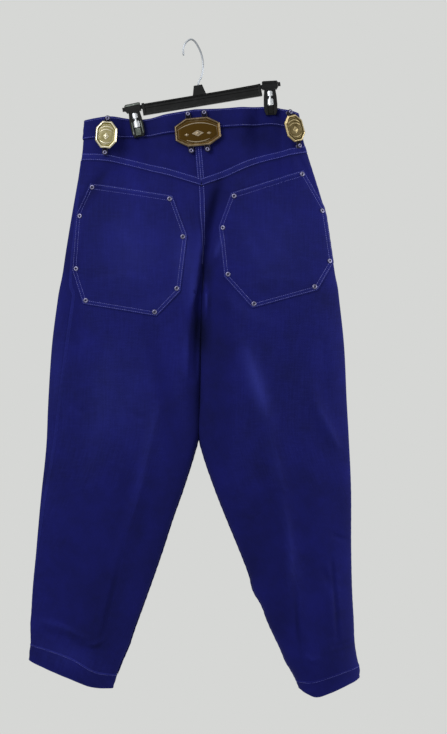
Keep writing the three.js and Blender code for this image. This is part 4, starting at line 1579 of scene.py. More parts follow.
@dataclass
class Panels:
    """Yokes, back panels and front panels, with the seams that join them.

    Attributes:
        finishes: The finishes.
        cloth: Thickness of the denim, in mm.
        step: Distance between rows on the back, in mm.
        columns: Columns of a back panel.
        painted_seam_shadow: How much paler it is where it dips under the seam above it, below 0 for a
            painted shadow.
    """

    finishes: Finishes
    cloth: float = 1.4
    step: float = 3.3
    columns: int = 92
    painted_seam_shadow: float = -0.55

    def panel(self, half: Half, face: Face, start: float, end: float, coarse: float) -> MeshData:
        """Shell of one panel.

        Args:
            half: The half it belongs to.
            face: The face it lies on.
            start: Level of its upper edge.
            end: Level of its lower edge.
            coarse: How much larger its facets are than on the back.

        Returns:
            The mesh.
        """
        levels = levels_between(start + 0.15, end - 0.15, self.step * coarse)
        front = face is Face.FRONT
        first = np.full(levels.shape, 0.9998 if front else 0.0002)
        last = half.side_turn(levels) + (0.0015 if front else -0.0015)
        share = np.linspace(0, 1, round(self.columns / coarse))
        turns = mix(first[:, None], last[:, None], share[None, :])
        grid = np.broadcast_to(levels[:, None], turns.shape)
        points, normals = CLOTH_FORM.surface(half, turns, grid)
        thinner = 0.5 * self.cloth * (1 - edge_roll(np.minimum(grid - start, end - grid)))
        grain = np.stack([rows_length(points), grid], -1)
        # A painted shadow darkens its upper edge, under the seam above it.
        return shell(points, normals, -thinner, thinner - self.cloth, grain,
                     wear_and_painted_light_at(points) + self.painted_seam_shadow * bell(grid - start, 3.0))

    def build(self) -> None:
        """Make the panels, their seams and stitches."""
        for half in (LEFT, RIGHT):
            pieces = [
                self.panel(half, face, start, end, coarse)
                .build(f"denim_{name}_{half.name}", self.finishes.denim)
                for name, face, start, end, coarse in (
                    ("yoke", Face.BACK, Level.BAND, Level.YOKE, 1.0),
                    ("back", Face.BACK, Level.YOKE, Level.HEM_SEAM, 1.0),
                    ("front", Face.FRONT, Level.BAND, Level.HEM_SEAM, 1.5),
                )
            ]
            self.declare(half, pieces, self.sew(half))
            LOG.info("panels of the %s half", half.name)

    def sew(self, half: Half) -> list[list[Any]]:
        """Sew one half.

        Args:
            half: The half.

        Returns:
            Pieces on the yoke, on the back panel and on the front panel.
        """
        yoke, back, front = (Sewing(f"{name}_{half.name}", self.finishes)
                             for name in ("yoke", "back", "front"))
        yoke.felled(level_path(half, Level.YOKE - 5.5, 0.0, float(half.side_turn(Level.YOKE - 4))))
        if half is LEFT:
            centre = down_path(half, 0.001, Level.BAND + 1, Level.YOKE - 8)
            yoke.felled(centre)
            yoke.row(centre.shifted(0, 1.0))
            back.felled(down_path(half, 0.001, Level.YOKE + 3, Level.CROTCH - 60),
                        FelledSeam(half=5.4, inset=1.7, rise=0.8, pale=0.1, sink=90))
        back.felled(down_path(half, None, Level.YOKE + 2, Level.HEM_SEAM - 2),
                    FelledSeam(half=3.2, rise=0.5, inset=1.5, pale=0.14), ())
        front.felled(down_path(half, 0.975, Level.CROTCH + 6, Level.HEM_SEAM - 2))
        if half is RIGHT:
            front.felled(down_path(half, 0.9935, Level.HIP + 4, Level.CROTCH - 30))
        return [yoke.build(), back.build(), front.build()]

    def declare(self, half: Half, pieces: list[Any], seams: list[list[Any]]) -> None:
        """Hide the imported nodes that the panels stand for.

        Args:
            half: The half.
            pieces: Its yoke, back panel and front panel.
            seams: The pieces sewn on each of them; not used.
        """
        for piece, node in zip(pieces, ("yoke", "back", "front")):
            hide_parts(f"{node}_{half.name}")


@dataclass
class Waistband:
    """The waistband, a doubled strip that stands a little proud of the yokes.

    Attributes:
        finishes: The finishes.
        proud: How far its outer face stands out where no clip presses, in mm.
        cloth: Thickness of the denim.
        under_turn: Turn at which its lapped end starts.
        under_drop: How far the lapped end lies under the other.
        under_start: Distance past the middle at which the lap starts to rise.
        under_ramp: Length over which it rises.
        ripple: Length of the ripples that the pull of the thread makes.
        stitch_levels: Levels of its two rows of stitches.
    """

    finishes: Finishes
    proud: float = 1.8
    cloth: float = 1.4
    under_turn: float = 0.062
    under_drop: float = 2.0
    under_start: float = 4.0
    under_ramp: float = 26.0
    ripple: float = 8.5
    stitch_levels: Point = (3.2, Level.BAND - 2.6)

    def build(self) -> None:
        levels = levels_between(Level.WAIST, Level.BAND - 0.15, 3.0)
        points, normals, drop = [], [], []
        for half, turns in (
            (LEFT, 1 - np.linspace(self.under_turn, 0.004, 14)),
            (RIGHT, np.linspace(0.9995, 0.0, 190)),
            (LEFT, np.linspace(0.004, 0.9995, 190)),
        ):
            t, v = np.meshgrid(turns, levels)
            p, n = CLOTH_FORM.surface(half, t, v)
            if half is RIGHT:
                past = p[..., 0] - LEFT_SECTIONS[0][1] - self.under_start
                under = np.where(t > 0.5, 1 - smooth(0, self.under_ramp, past), 0)
            else:
                under = np.full(t.shape, 0.0 if points else 1.0)
            points.append(p)
            normals.append(n)
            drop.append(-self.under_drop * under)
        p, n, d = (np.concatenate(part, 1) for part in (points, normals, drop))
        grid = np.broadcast_to(levels[:, None], p.shape[:2])
        from_edge = np.minimum(grid, Level.BAND - grid)
        roll = edge_roll(from_edge, 1.6)
        free = 1 - CLOTH_FORM.pinch(p[..., 0], grid)
        along = rows_length(p)
        ripple = np.sin(along * 2 * np.pi / self.ripple)
        pucker = 0.3 * np.sin(along / 2.6) * bell(grid - 33, 4) * free
        pucker += 0.25 * np.sin(along / 3.1 + 1) * bell(grid - 4, 4) * free
        pucker += 0.45 * ripple * bell(grid - 17, 9) * free
        out = d + self.proud * free + pucker - 0.9 * (1 - roll)
        into = d - self.cloth + 0.2 * (1 - roll)
        rubbed = 0.22 * np.clip(ripple, 0, 1) * bell(grid - 16, 5)
        rubbed *= smooth(30, 60, np.abs(p[..., 0] - 12)) * free
        mesh = shell(p, n, out, into, np.stack([along, grid], -1),
                     wear_and_painted_light_at(p) + 0.32 * bell(from_edge, 1.8) + rubbed)
        band = mesh.build("denim_waistband", self.finishes.denim)
        sewing = Sewing("waistband", self.finishes)
        for level in self.stitch_levels:
            for half, start, end in ((RIGHT, 0.94, 0.0), (LEFT, 0.003, 0.998)):
                sewing.row(level_path(half, level, start, end).shifted(0, self.proud * 0.9))
        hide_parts("waistband")
        sewing.build()
        LOG.info("waistband")


@dataclass
class Hems:
    """The turned-up hems, each a ring of doubled cloth with one row of stitches.

    Attributes:
        finishes: The finishes.
        proud: How far the outer face stands out, in mm.
        thickness: Thickness of the doubled cloth.
        widths: Flat widths of the left and the right hem, in m; not used.
        height: Height of a hem, in m; not used.
    """

    finishes: Finishes
    proud: float = 1.2
    thickness: float = 2.9
    widths: Point = (0.36, 0.32)
    height: float = 0.033

    def build(self) -> None:
        """Make both hems."""
        levels = levels_between(Level.HEM_SEAM - 1.5, Level.HEM_EDGE, 2.6, 1.4)
        t, v = np.meshgrid(np.linspace(0.001, 0.999, 150), levels)
        from_edge = np.minimum(v - levels[0], levels[-1] - v)
        thinner = 1.1 * (1 - edge_roll(from_edge, 1.8))
        for half, width in zip((LEFT, RIGHT), self.widths):
            points, normals = CLOTH_FORM.surface(half, t, v)
            along = rows_length(points)
            rope = 0.35 * np.sin(along / 4.2 + v / 3.0) * smooth(levels[0], levels[0] + 8, v)
            mesh = shell(points, normals, self.proud + rope - thinner,
                         self.proud - self.thickness + thinner, np.stack([along, v], -1),
                         wear_and_painted_light_at(points) + 0.2 * bell(from_edge, 1.8) - 0.03, ring=True)
            hem = mesh.build(f"denim_hem_{half.name}", self.finishes.denim)
            sewing = Sewing(f"hem_{half.name}", self.finishes)
            path = level_path(half, Level.HEM_SEAM + 1.5, 0.002, 0.998)
            sewing.row(path.shifted(0, self.proud * 0.9), Topstitch(width=0.5, rise=0.25))
            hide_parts(f"hem_{half.name}")
            sewing.build()
            LOG.info("hem of the %s leg", half.name)


def inset_outline(corners: Array, distance: float) -> Array:
    """A convex outline with each edge moved inward.

    Args:
        corners: Corners as rows of x and z, in order.
        distance: How far each edge moves, in mm.

    Returns:
        The moved corners.
    """
    middle = corners.mean(0)
    ahead = np.roll(corners, -1, 0) - corners
    inward = unit(np.stack([-ahead[:, 1], ahead[:, 0]], -1))
    inward *= np.sign(((middle - corners) * inward).sum(-1, keepdims=True))
    base = corners + inward * distance
    moved = []
    for k in range(len(corners)):
        p, r = base[k - 1], ahead[k - 1]
        q, s = base[k], ahead[k]
        share = ((q - p)[0] * s[1] - (q - p)[1] * s[0]) / (r[0] * s[1] - r[1] * s[0])
        moved.append(p + r * share)
    return np.array(moved)


def outline_points(corners: Array, counts: Sequence[int]) -> Array:
    """Points along an outline with a given number on each edge."""
    runs = [mix(a, b, (np.arange(n) / n)[:, None]) for a, b, n in
            zip(corners, np.roll(corners, -1, 0), counts)]
    return np.concatenate(runs)


@dataclass
class Patch:
    """A flat piece of cloth sewn on a panel: a pocket or the fly's flap.

    Attributes:
        half: The half it lies on.
        front: Whether it lies on the front.
        corners: Its corners in the plane of the photograph, in mm.
        lift: How far its outer face stands off the panel.
        cloth: Thickness of the denim.
        rows: Distances of its rows of stitches from its edges.
        gape: How far the middle of its first edge stands open.
        gape_reach: How far in from that edge it stays open.
    """

    half: Half
    front: bool
    corners: tuple[Point, ...]
    lift: float = 1.9
    cloth: float = 1.4
    rows: tuple[float, ...] = (2.2, 7.6)
    gape: float = 0.0
    gape_reach: float = 26

    def mesh(self) -> MeshData:
        """Shell of the patch, in rings that follow its edges.

        Returns:
            The mesh.
        """
        corners = np.array(self.corners, float)
        lengths = np.linalg.norm(np.roll(corners, -1, 0) - corners, axis=1)
        counts = [max(2, round(n / 3.6)) for n in lengths]
        narrow = min(np.ptp(corners[:, 0]), np.ptp(corners[:, 1])) / 2
        insets = [0, 0.5, 1.1, 1.7, 2.2, 2.7, 3.6, 5.2, 6.8, 7.6, 8.4, 9.8]
        insets += list(np.arange(12.5, min(60, narrow * 0.62), 3.4))
        insets = [d for d in insets if d < narrow * 0.8]
        rings = [outline_points(inset_outline(corners, d), counts) for d in insets]
        middle = rings[-1].mean(0)
        depth = list(insets)
        steps = max(3, round(np.linalg.norm(rings[-1] - middle, axis=1).mean() / 4.5))
        for share in np.linspace(1, 0, steps + 1)[1:-1]:
            rings.append(middle + (rings[len(insets) - 1] - middle) * share)
            depth.append(insets[-1] + 20)
        flat = np.stack(rings)
        count = flat.shape[1]
        points, normals = (part.reshape(flat.shape[:2] + (3,)) for part in self.lie(flat))
        distance = np.broadcast_to(np.array(depth)[:, None], flat.shape[:2])
        groove = sum(0.45 * bell(distance - row, 0.8) for row in self.rows)
        bulge = 0.35 * bell(distance - 5.4, 2.2)
        around = np.arange(count) / count * lengths.sum()
        pucker = 0.28 * np.sin(around / 2.7)[None, :] * bell(distance - 4, 5)
        open_share = np.zeros(count)
        open_share[: counts[0]] = self.opening(np.arange(counts[0]) / counts[0])
        mouth = self.gape * open_share[None, :] * bell(distance, self.gape_reach)
        out = self.lift + mouth + bulge + pucker - groove - (1 - edge_roll(distance, 1.3))
        into = self.lift + mouth - self.cloth + 0.1 * pucker
        lightened = 0.16 * bell(distance, 1.3) + 0.07 * bell(distance - 5.0, 1.8)
        mesh = shell(points, normals, out, into, flat, wear_and_painted_light_at(points) + lightened, ring=True)
        last = (len(rings) - 1) * count
        total = len(rings) * count
        inner = [k for k in mesh.faces if not all(last <= n % total < last + count for n in k)]
        inner.append(tuple(range(last, last + count))[::-1])
        inner.append(tuple(range(total + last, total + last + count)))
        mesh.faces = inner
        return mesh

    def lie(self, flat: Array) -> tuple[Array, Array]:
        """Points of the panel under places in the plane of the photograph, and its directions."""
        turn, level = CLOTH_FORM.find(self.half, flat[..., 0], flat[..., 1], self.front)
        return CLOTH_FORM.surface(self.half, turn, level)

    @staticmethod
    def opening(share: Array) -> Array:
        """Share of the gape at each place along the first edge."""
        return np.sin(np.pi * share) ** 1.5

    def path(self, inset: float, edges: Iterable[int] | None = None) -> Path:
        """A line on the patch at a distance from its edges.

        Args:
            inset: The distance, in mm.
            edges: Numbers of the edges it follows, or all.

        Returns:
            The line, closed where it follows all edges.
        """
        corners = inset_outline(np.array(self.corners, float), inset)
        chosen = list(range(len(corners)) if edges is None else edges)
        share = np.linspace(0, 1, 60)
        flat = np.concatenate([
            mix(corners[k], corners[(k + 1) % len(corners)], share[:, None]) for k in chosen
        ])
        points, normals = self.lie(flat)
        gape = self.gape * self.opening(share) * bell(inset, self.gape_reach)
        height = np.concatenate([gape * (k == 0) for k in chosen])[:, None] + self.lift - 0.35
        return Path(points + normals * height, normals, closed=edges is None)


@dataclass
class Pockets:
    """The two eight-cornered back pockets with their rivets.

    Attributes:
        finishes: The finishes.
        rivet_inset: Distance of a rivet from its corner, in mm.
        left: Corners of the left pocket in the plane of the photograph, from its mouth on.
        right: Corners of the right pocket.
    """

    finishes: Finishes
    rivet_inset: float = 9.0
    left: tuple[Point, ...] = ((-192, -274), (-36, -298), (-8, -374), (-21, -479), (-66, -526),
                               (-205, -503), (-226, -439), (-218, -331))
    right: tuple[Point, ...] = ((211, -249), (74, -293), (51, -357), (61, -452), (114, -511),
                                (237, -477), (268, -424), (253, -321))

    def build(self) -> None:
        """Make both pockets."""
        for half, corners in ((LEFT, self.left), (RIGHT, self.right)):
            patch = Patch(half, False, corners, gape=1.6)
            pocket = patch.mesh().build(f"denim_pocket_{half.name}", self.finishes.denim)
            sewing = Sewing(f"pocket_{half.name}", self.finishes)
            sewing.row(patch.path(2.2))
            sewing.row(patch.path(7.6, range(1, len(corners))))
            sewing.row(patch.path(10.8, range(1)))
            rivets = self.rivets(half, corners)
            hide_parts(f"pocket_{half.name}")
            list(sewing.build())
            LOG.info("pocket of the %s half", half.name)

    def rivets(self, half: Half, corners: tuple[Point, ...]) -> Any:
        """Rivets inside the corners of a pocket, as one piece.

        Args:
            half: The half it lies on.
            corners: Its corners.

        Returns:
            The piece.
        """
        outline = np.array(corners, float)
        middle = outline.mean(0)
        size = np.linalg.norm(outline - middle, axis=1, keepdims=True)
        places = mix(outline, middle, self.rivet_inset / size)
        turn, level = CLOTH_FORM.find(half, places[:, 0], places[:, 1])
        points, normals = CLOTH_FORM.surface(half, turn, level)
        rivets = [RING_RIVET.mesh().moved(standing(point + 2 * normal, normal))
                  for point, normal in zip(points, normals)]
        piece = together(rivets).build(f"pocket_{half.name}_ring_rivets", self.finishes.antique)
        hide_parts(*[f"pocket_{half.name}_rivet_{k + 1}" for k in range(len(corners))])
        return piece


@dataclass(frozen=True)
class RingRivet:
    """A tubular rivet: a domed ring round a dark hollow with the burred end of its nail.

    Attributes:
        radius: Its radius, in mm.
        height: How far it stands up.
        hollow: Radius of the hollow.
        sink: How far its foot goes into what it stands on.
    """

    radius: float = 4.7
    height: float = 1.7
    hollow: float = 1.9
    sink: float = 0.8

    def mesh(self) -> MeshData:
        """The rivet on its own axis.

        Returns:
            The mesh.
        """
        r, h, c, sink = self.radius, self.height, self.hollow, self.sink
        return lathe((
            (0.01, 0.55 * h, 0.55), (0.32 * c, 0.5 * h, 0.5), (0.5 * c, 0.16 * h, 0.0),
            (0.9 * c, 0.14 * h, 0.0), (c, 0.5 * h, 0.25), (1.2 * c, 0.93 * h, 0.95),
            (0.62 * r, h, 1.0), (0.82 * r, 0.86 * h, 0.9), (0.95 * r, 0.52 * h, 0.6),
            (r, 0.15 * h, 0.25), (r, -sink, 0.0), (0.01, -sink, 0.0),
        ), 20)


RING_RIVET = RingRivet()


@dataclass
class Fly:
    """The fly's flap on the front, with its curved rows of stitches, and the waist button.

    Attributes:
        finishes: The finishes.
        corners: Corners of the flap in the plane of the photograph, in mm.
        button: Place of the button across and up.
        button_profile: Rows of radius, height and how bare the metal is worn.
    """

    finishes: Finishes
    corners: tuple[Point, ...] = ((9.0, -178), (18.2, -279), (20.2, -327), (13.6, -325.6),
                                  (4.5, -323.2), (-4.5, -318.5), (-11, -312.8), (-15.4, -306.6),
                                  (-19, -290), (-29, -178))
    button: Point = (-8.0, -158.0)
    button_profile: tuple[Triple, ...] = (
        (0.01, 3.3, 0.5), (3.4, 3.4, 0.3), (4.2, 4.0, 0.2), (5.2, 4.5, 0.9), (6.3, 4.9, 1.0),
        (7.4, 4.7, 1.0), (8.3, 4.0, 0.8), (8.5, 3.0, 0.5), (8.1, 2.3, 0.2), (3.2, 1.9, 0.1),
        (3.0, -0.9, 0.0), (0.01, -0.9, 0.0))

    def build(self) -> None:
        """Make the flap and the button."""
        patch = Patch(LEFT, True, self.corners, rows=(2.0,))
        flap = patch.mesh().build("denim_fly_flap", self.finishes.denim)
        sewing = Sewing("fly", self.finishes)
        sewing.row(patch.path(2.0))
        for inset in (5.0, 8.5):
            sewing.row(patch.path(inset, range(3, 9)))
        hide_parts("fly_flap")
        sewing.build()
        turn, level = PLAIN_FORM.find(LEFT, self.button[0], self.button[1], True)
        (point,), (normal,) = CLOTH_FORM.surface(LEFT, turn, level)
        stand = standing(point + 1.1 * normal, normal)
        button = lathe(self.button_profile, 36).moved(stand).build("shank_button",
                                                                   self.finishes.dark_brass)
        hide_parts("waist_button")
        LOG.info("fly and waist button")


# The metal plates


@dataclass(frozen=True)
class PlateShape:
    """An octagonal plate with riveted lugs, in mm.

    Attributes:
        half_width: Half of its width.
        half_height: Half of its height.
        top_half: Half of its top edge.
        side_half: Half of its side edge.
        lugs: Middles of its lugs.
        arcs: Raised arcs on its field, as half width, height of the ends and of the middle.
        lozenges: Raised lozenges on its field, as x, y, half width and half height.
        rim: How bare its rim is worn, from 0 to 1.
        field: How bare its field is worn.
    """

    half_width: float
    half_height: float
    top_half: float
    side_half: float
    lugs: tuple[Point, ...]
    arcs: tuple[Triple, ...]
    lozenges: tuple[tuple[float, float, float, float], ...]
    rim: float = 1.0
    field: float = 0.15

    def octagon(self, inset: float) -> Array:
        """Corners of the octagon, moved inward."""
        w, h = self.half_width - inset, self.half_height - inset
        t, s = self.top_half - inset * 0.45, self.side_half - inset * 0.45
        return np.array([(w, -s), (w, s), (t, h), (-t, h), (-w, s), (-w, -s), (-t, -h), (t, -h)])


WIDE_PLATE = PlateShape(43, 27, 20.5, 13.5, ((-15.3, 35.5), (15.3, 35.5), (-15.3, -34.5), (15.3, -34.5)),
                        ((37.5, 6.0, 16.5), (22, -14.5, -19.0)),
                        ((0, -3.0, 13, 6.5), (-21, -4.5, 5, 3.0), (21, -4.5, 5, 3.0)), rim=0.34,
                        field=-0.1)
TALL_PLATE = PlateShape(20, 25.7, 8.7, 12.4, ((0, 31.5), (0, -34)),
                        ((12, 10.5, 15.5), (11.5, 5.0, 9.5), (9.5, -13.0, -16.5)),
                        ((0, -3.5, 6.2, 7.8),))


@dataclass
class BeltPlate:
    """A cast plate that stands off the waistband on rivets, so that a belt passes behind it.

    Attributes:
        name: The node it replaces.
        shape: Its outline and relief.
        material: Its finish.
        rivet_material: Finish of its straps and rivets.
        half: The half it stands on.
        x: Place of its middle across.
        z: Place of its middle up.
        lean: How far it leans in the plane of the cloth, in degrees.
        turn: How far it turns round the side of the waist, in degrees.
        standoff: How far its back stands off the cloth.
        slot: Name of its material slot; not used.
        centre_x: Where the two halves meet under the plates.
    """

    name: str
    shape: PlateShape
    material: Any
    rivet_material: Any
    half: Half
    x: float
    z: float
    lean: float
    turn: float
    standoff: float
    slot: str
    centre_x: float = 14

    def frame(self) -> Matrix:
        """Place of the plate: x to its right, y up and z out.

        Returns:
            The transform, in mm.
        """
        turn, level = PLAIN_FORM.find(self.half, self.x, self.z)
        (foot,), (normal,) = PLAIN_FORM.surface(self.half, turn, level)
        out = Matrix.Rotation(math.radians(self.turn), 3, "Z") @ Vector(normal)
        flat = Vector((0, 0, 1)).cross(out).normalized()
        right = Matrix.Rotation(math.radians(self.lean), 3, out) @ flat
        up = out.cross(right)
        place = Matrix((right, up, out)).transposed().to_4x4()
        return Matrix.Translation(Vector(foot) + out * self.standoff) @ place

    def face(self) -> MeshData:
        """The octagon with its rim, bead and field.

        Returns:
            The mesh.
        """
        rim, field_crest = self.shape.rim, self.shape.field
        profile = ((6, 0, 0), (0.5, 0, 0), (0, 0.5, 0), (0, 1.3, 0.2 * rim), (0.6, 1.9, 0.7 * rim),
                   (1.9, 3.1, rim), (2.3, 3.2, rim), (2.8, 3.15, rim), (3.3, 2.9, 0.2 * rim),
                   (4.9, 2.25, 0), (6.0, 2.2, 0), (6.3, 2.45, 0.5 * rim), (6.9, 2.45, 0.5 * rim),
                   (7.2, 2.2, 0), (9.0, 2.25, field_crest), (11.0, 2.35, field_crest))
        return raised([self.shape.octagon(inset) for inset, *_ in profile], profile)

    def arc(self, half_width: float, ends: float, middle: float) -> MeshData:
        """A raised arc on the field.

        Args:
            half_width: Half of its width.
            ends: Height of its ends on the field.
            middle: Height of its middle.

        Returns:
            The mesh.
        """
        t = np.linspace(-1, 1, 25)
        spine = np.stack([t * half_width, mix(middle, ends, t * t)], -1)
        ahead = unit(np.gradient(spine, axis=0))
        side = np.stack([-ahead[:, 1], ahead[:, 0]], -1)
        taper = np.sqrt(np.clip(1.08 - t * t, 0, 1))[:, None]
        profile = ((-1.5, 1.9, 0.1), (-0.7, 3.0, 0.9), (0.7, 3.0, 0.9), (1.5, 1.9, 0.1))
        grid = np.stack([np.column_stack([spine + side * (a * taper),
                                          2.0 + (b - 2.0) * taper[:, 0]]) for a, b, _ in profile], 1)
        return tube(grid, [crest for *_, crest in profile])

    def lozenge(self, x: float, y: float, half_width: float, half_height: float) -> MeshData:
        """A raised lozenge with a table and sloping sides.

        Args:
            x: Its middle across.
            y: Its middle up.
            half_width: Half of its width.
            half_height: Half of its height.

        Returns:
            The mesh.
        """
        corners = np.array([(half_width, 0), (0, half_height), (-half_width, 0), (0, -half_height)])
        profile = ((1.0, 1.9, 0.1), (0.86, 2.9, 0.8), (0.6, 3.0, 1.0), (0.5, 2.7, 0.2), (0.1, 3.1, 1.0))
        return raised([corners * size + (x, y) for size, *_ in profile], profile)

    def lug(self, x: float, y: float) -> MeshData:
        """A rounded strap from the plate's back to a rivet.

        Args:
            x: Place of the rivet across.
            y: Place of the rivet up.

        Returns:
            The mesh.
        """
        radius, root = 5.2, math.copysign(self.shape.half_height - 2.5, y)
        sweep = np.linspace(0, math.pi, 11)
        sign = math.copysign(1, y)
        tip = np.stack([x + radius * np.cos(sweep), y + sign * radius * np.sin(sweep)], -1)
        outline = np.concatenate([tip, [(x - radius, root), (x + radius, root)]])
        middle = np.array((x, (y + root) / 2))
        profile = ((1.0, 0.0, 0), (1.0, 1.2, 0.1), (0.9, 1.75, 0.25), (0.78, 1.8, 0))
        return raised([mix(middle, outline, size) for size, *_ in profile], profile)

    def build(self) -> None:
        """Make the plate and its rivets."""
        place = self.frame()
        out = np.array(place.col[2][:3])
        straps = together(self.lug(*lug) for lug in self.shape.lugs).moved(place)
        straps = straps.build(f"{self.name}_straps", self.rivet_material, flat=True)
        relief = [self.face(), *(self.arc(*arc) for arc in self.shape.arcs),
                  *(self.lozenge(*lozenge) for lozenge in self.shape.lozenges)]
        plate = together(relief).moved(place).build(f"cast_{self.name}", self.material, flat=True)
        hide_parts(self.name)
        posts = []
        for x, y in self.shape.lugs:
            lug = np.array(place @ Vector((x, y, 0)))
            half = LEFT if lug[0] < self.centre_x else RIGHT
            (cloth,) = CLOTH_FORM.point(half, *CLOTH_FORM.find(half, lug[0], lug[2]))
            posts.append(self.post(float((lug - cloth) @ out)).moved(standing(lug, out)))
        rivets = together(posts).build(f"{self.name}_lug_rivets", self.rivet_material)
        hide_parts(*[f"{self.name}_post_{k + 1}" for k in range(len(self.shape.lugs))])
        LOG.info("plate %s", self.name)

    def post(self, drop: float) -> MeshData:
        """A rivet through a lug: its head over the lug, its shank, and its flange on the cloth.

        Args:
            drop: Distance from the lug's back down to the cloth.

        Returns:
            The mesh.
        """
        return lathe((
            (0.01, 2.6, 0.3), (0.8, 2.55, 0.2), (1.2, 2.3, 0.0), (1.6, 2.3, 0.0), (2.0, 3.1, 0.9),
            (2.8, 3.5, 1.0), (3.5, 3.2, 0.9), (3.9, 2.4, 0.5), (3.9, 1.8, 0.2), (2.1, 1.7, 0.1),
            (2.1, -drop + 1.1, 0.1), (3.8, -drop + 0.9, 0.5), (3.9, -drop - 0.4, 0.1),
            (0.01, -drop - 0.4, 0.0)), 18)


# The hanger


@dataclass
class ClipHanger:
    """The clip hanger: moulded bar and jaws with eased edges, and its wire hook.

    Attributes:
        finishes: The finishes.
        tilt: How far the bar tilts, in degrees.
        pivot: Height of the clips' middles in the hanger's own frame, in mm.
        wire: Diameter of the hook's wire, in mm.
        hook: Places along the wire, in the hanger's own frame.
    """

    finishes: Finishes
    tilt: float = 9.4
    pivot: float = -109.5
    wire: float = 3.4
    hook: tuple[Point, ...] = ((-2, -88), (-1, -82), (6, -72), (11.5, -58), (13.8, -42), (12.8, -27),
                               (9.4, -14), (4.6, -3.4), (-1.5, 1.5), (-9, -0.6), (-15.5, -7),
                               (-19.5, -16), (-20.5, -27))

    def eased(self, node: str, width: float, material: Any, slot: str) -> Any:
        """A finer form of a node, with its edges eased.

        Args:
            node: The node it stands for.
            width: Width of the eased edges, in mm.
            material: Its material.
            slot: Name of its material slot; not used.

        Returns:
            The piece.
        """
        work = bmesh.new()
        work.from_mesh(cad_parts[node].data)
        bmesh.ops.remove_doubles(work, verts=work.verts, dist=0.01 * MM)
        bmesh.ops.dissolve_limit(work, angle_limit=math.radians(2), verts=work.verts, edges=work.edges)
        sharp = [e for e in work.edges if e.is_manifold and e.calc_face_angle(0) > math.radians(25)]
        bmesh.ops.bevel(work, geom=sharp, offset=width * MM, segments=2, profile=0.5,
                        affect="EDGES", clamp_overlap=True)
        bmesh.ops.triangulate(work, faces=[f for f in work.faces if len(f.verts) > 4])
        mesh = bpy.data.meshes.new(f"moulded_{node}")
        work.to_mesh(mesh)
        work.free()
        mesh.materials.append(material)
        mesh.shade_flat()
        piece = placed(mesh.name, mesh)
        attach(piece, "root")
        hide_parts(node)
        return piece

    def jaw_relief(self, outer: int) -> MeshData:
        """Housing and rails that stand out on a near jaw, in the clip's own frame.

        Args:
            outer: -1 where the clip's outer side is at its left, 1 at its right.

        Returns:
            The mesh.
        """
        rail = prism(((4.8, -11), (10.6, -9), (12.2, -22), (13.0, -38), (12.0, -50), (9.0, -57.0),
                      (5.6, -57.0), (5.6, -40)), -6.8, -9.4, 0.7)
        ear = prism(((1.9, -22.4), (5.4, -20.2), (5.4, -27.0), (1.9, -25.0)), -8.0, -10.3)
        cover = prism(((-16.0, -5.0), (-13.6, -8.0), (13.4, -8.0), (13.4, 6.4), (11.8, 8.0),
                       (-14.0, 8.0), (-16.6, 4.5)), -5.0, -7.4, 0.9)
        brow = prism(((-10.0, -7.4), (10.0, -7.4), (7.4, -11.4), (-7.4, -11.4)), -6.8, -9.6, 0.8)
        head = [mirrored(part) if outer > 0 else part for part in (cover, brow)]
        return together([rail, ear, mirrored(rail), mirrored(ear), *head])

    def lip_and_rail_relief(self, outer: int) -> MeshData:
        """Lip, rail edges, tongue and grip ribs in the clip's own frame, pale on the left as a painted
        highlight.

        Args:
            outer: -1 where the clip's outer side is at its left, 1 at its right.

        Returns:
            The mesh.
        """
        lip = prism(((-14.6, 6.6), (12.4, 6.6), (12.4, 3.6), (-14.6, 3.6)), -7.2, -8.6, 0.9)
        edge = prism(((7.6, -28), (9.2, -28), (10.0, -51), (8.4, -51)), -9.0, -9.9, 0.3)
        tongue = prism(((-5.0, -40.0), (5.0, -40.0), (5.0, -53.5), (-5.0, -53.5)), -6.8, -7.8)
        ribs = [prism(((-4.4, z + 0.6), (4.4, z + 0.6), (4.4, z - 0.6), (-4.4, z - 0.6)), -7.6, -8.5)
                for z in (-42.0, -44.6, -47.2, -49.8, -52.4)]
        return together([mirrored(lip) if outer > 0 else lip, edge, mirrored(edge), tongue, *ribs])

    def spring_relief(self) -> MeshData:
        """The domed and waisted face of a spring, in the clip's own frame.

        Returns:
            The mesh.
        """
        rows = ((-11.6, 3.4), (-12.6, 4.4), (-17.0, 4.7), (-20.6, 4.0), (-22.4, 2.2), (-25.0, 2.2),
                (-27.0, 3.9), (-36.0, 4.4), (-38.5, 3.8))
        share = np.linspace(-1, 1, 13)
        grid = np.stack([np.column_stack([share * half, -7.9 - 1.9 * np.sqrt(1 - (0.96 * share) ** 2),
                                          np.full(13, z)]) for z, half in rows])
        back = grid.copy()
        back[..., 1] = -7.6
        return tube(np.concatenate([grid, back[:, ::-1]], 1))

    def hook_mesh(self) -> MeshData:
        """The wire, as a round tube with rounded ends.

        Returns:
            The mesh.
        """
        places = np.array([(x, 0.0, z) for x, z in self.hook])
        chord = np.concatenate([[0], np.cumsum(np.linalg.norm(np.diff(places, axis=0), axis=1) ** 0.5)])
        route = hermite(chord, places, np.linspace(0, chord[-1], 140))
        ahead = unit(np.gradient(route, axis=0))
        side = np.broadcast_to((0.0, 1.0, 0.0), ahead.shape)
        over = np.cross(ahead, side)
        angles = np.arange(16) / 16 * 2 * np.pi
        size = np.full(len(route), self.wire / 2)
        size[-4:] *= (1.0, 0.9, 0.65, 0.3)
        ring = side[:, None] * np.cos(angles)[:, None] + over[:, None] * np.sin(angles)[:, None]
        return tube(route[:, None] + ring * size[:, None, None])

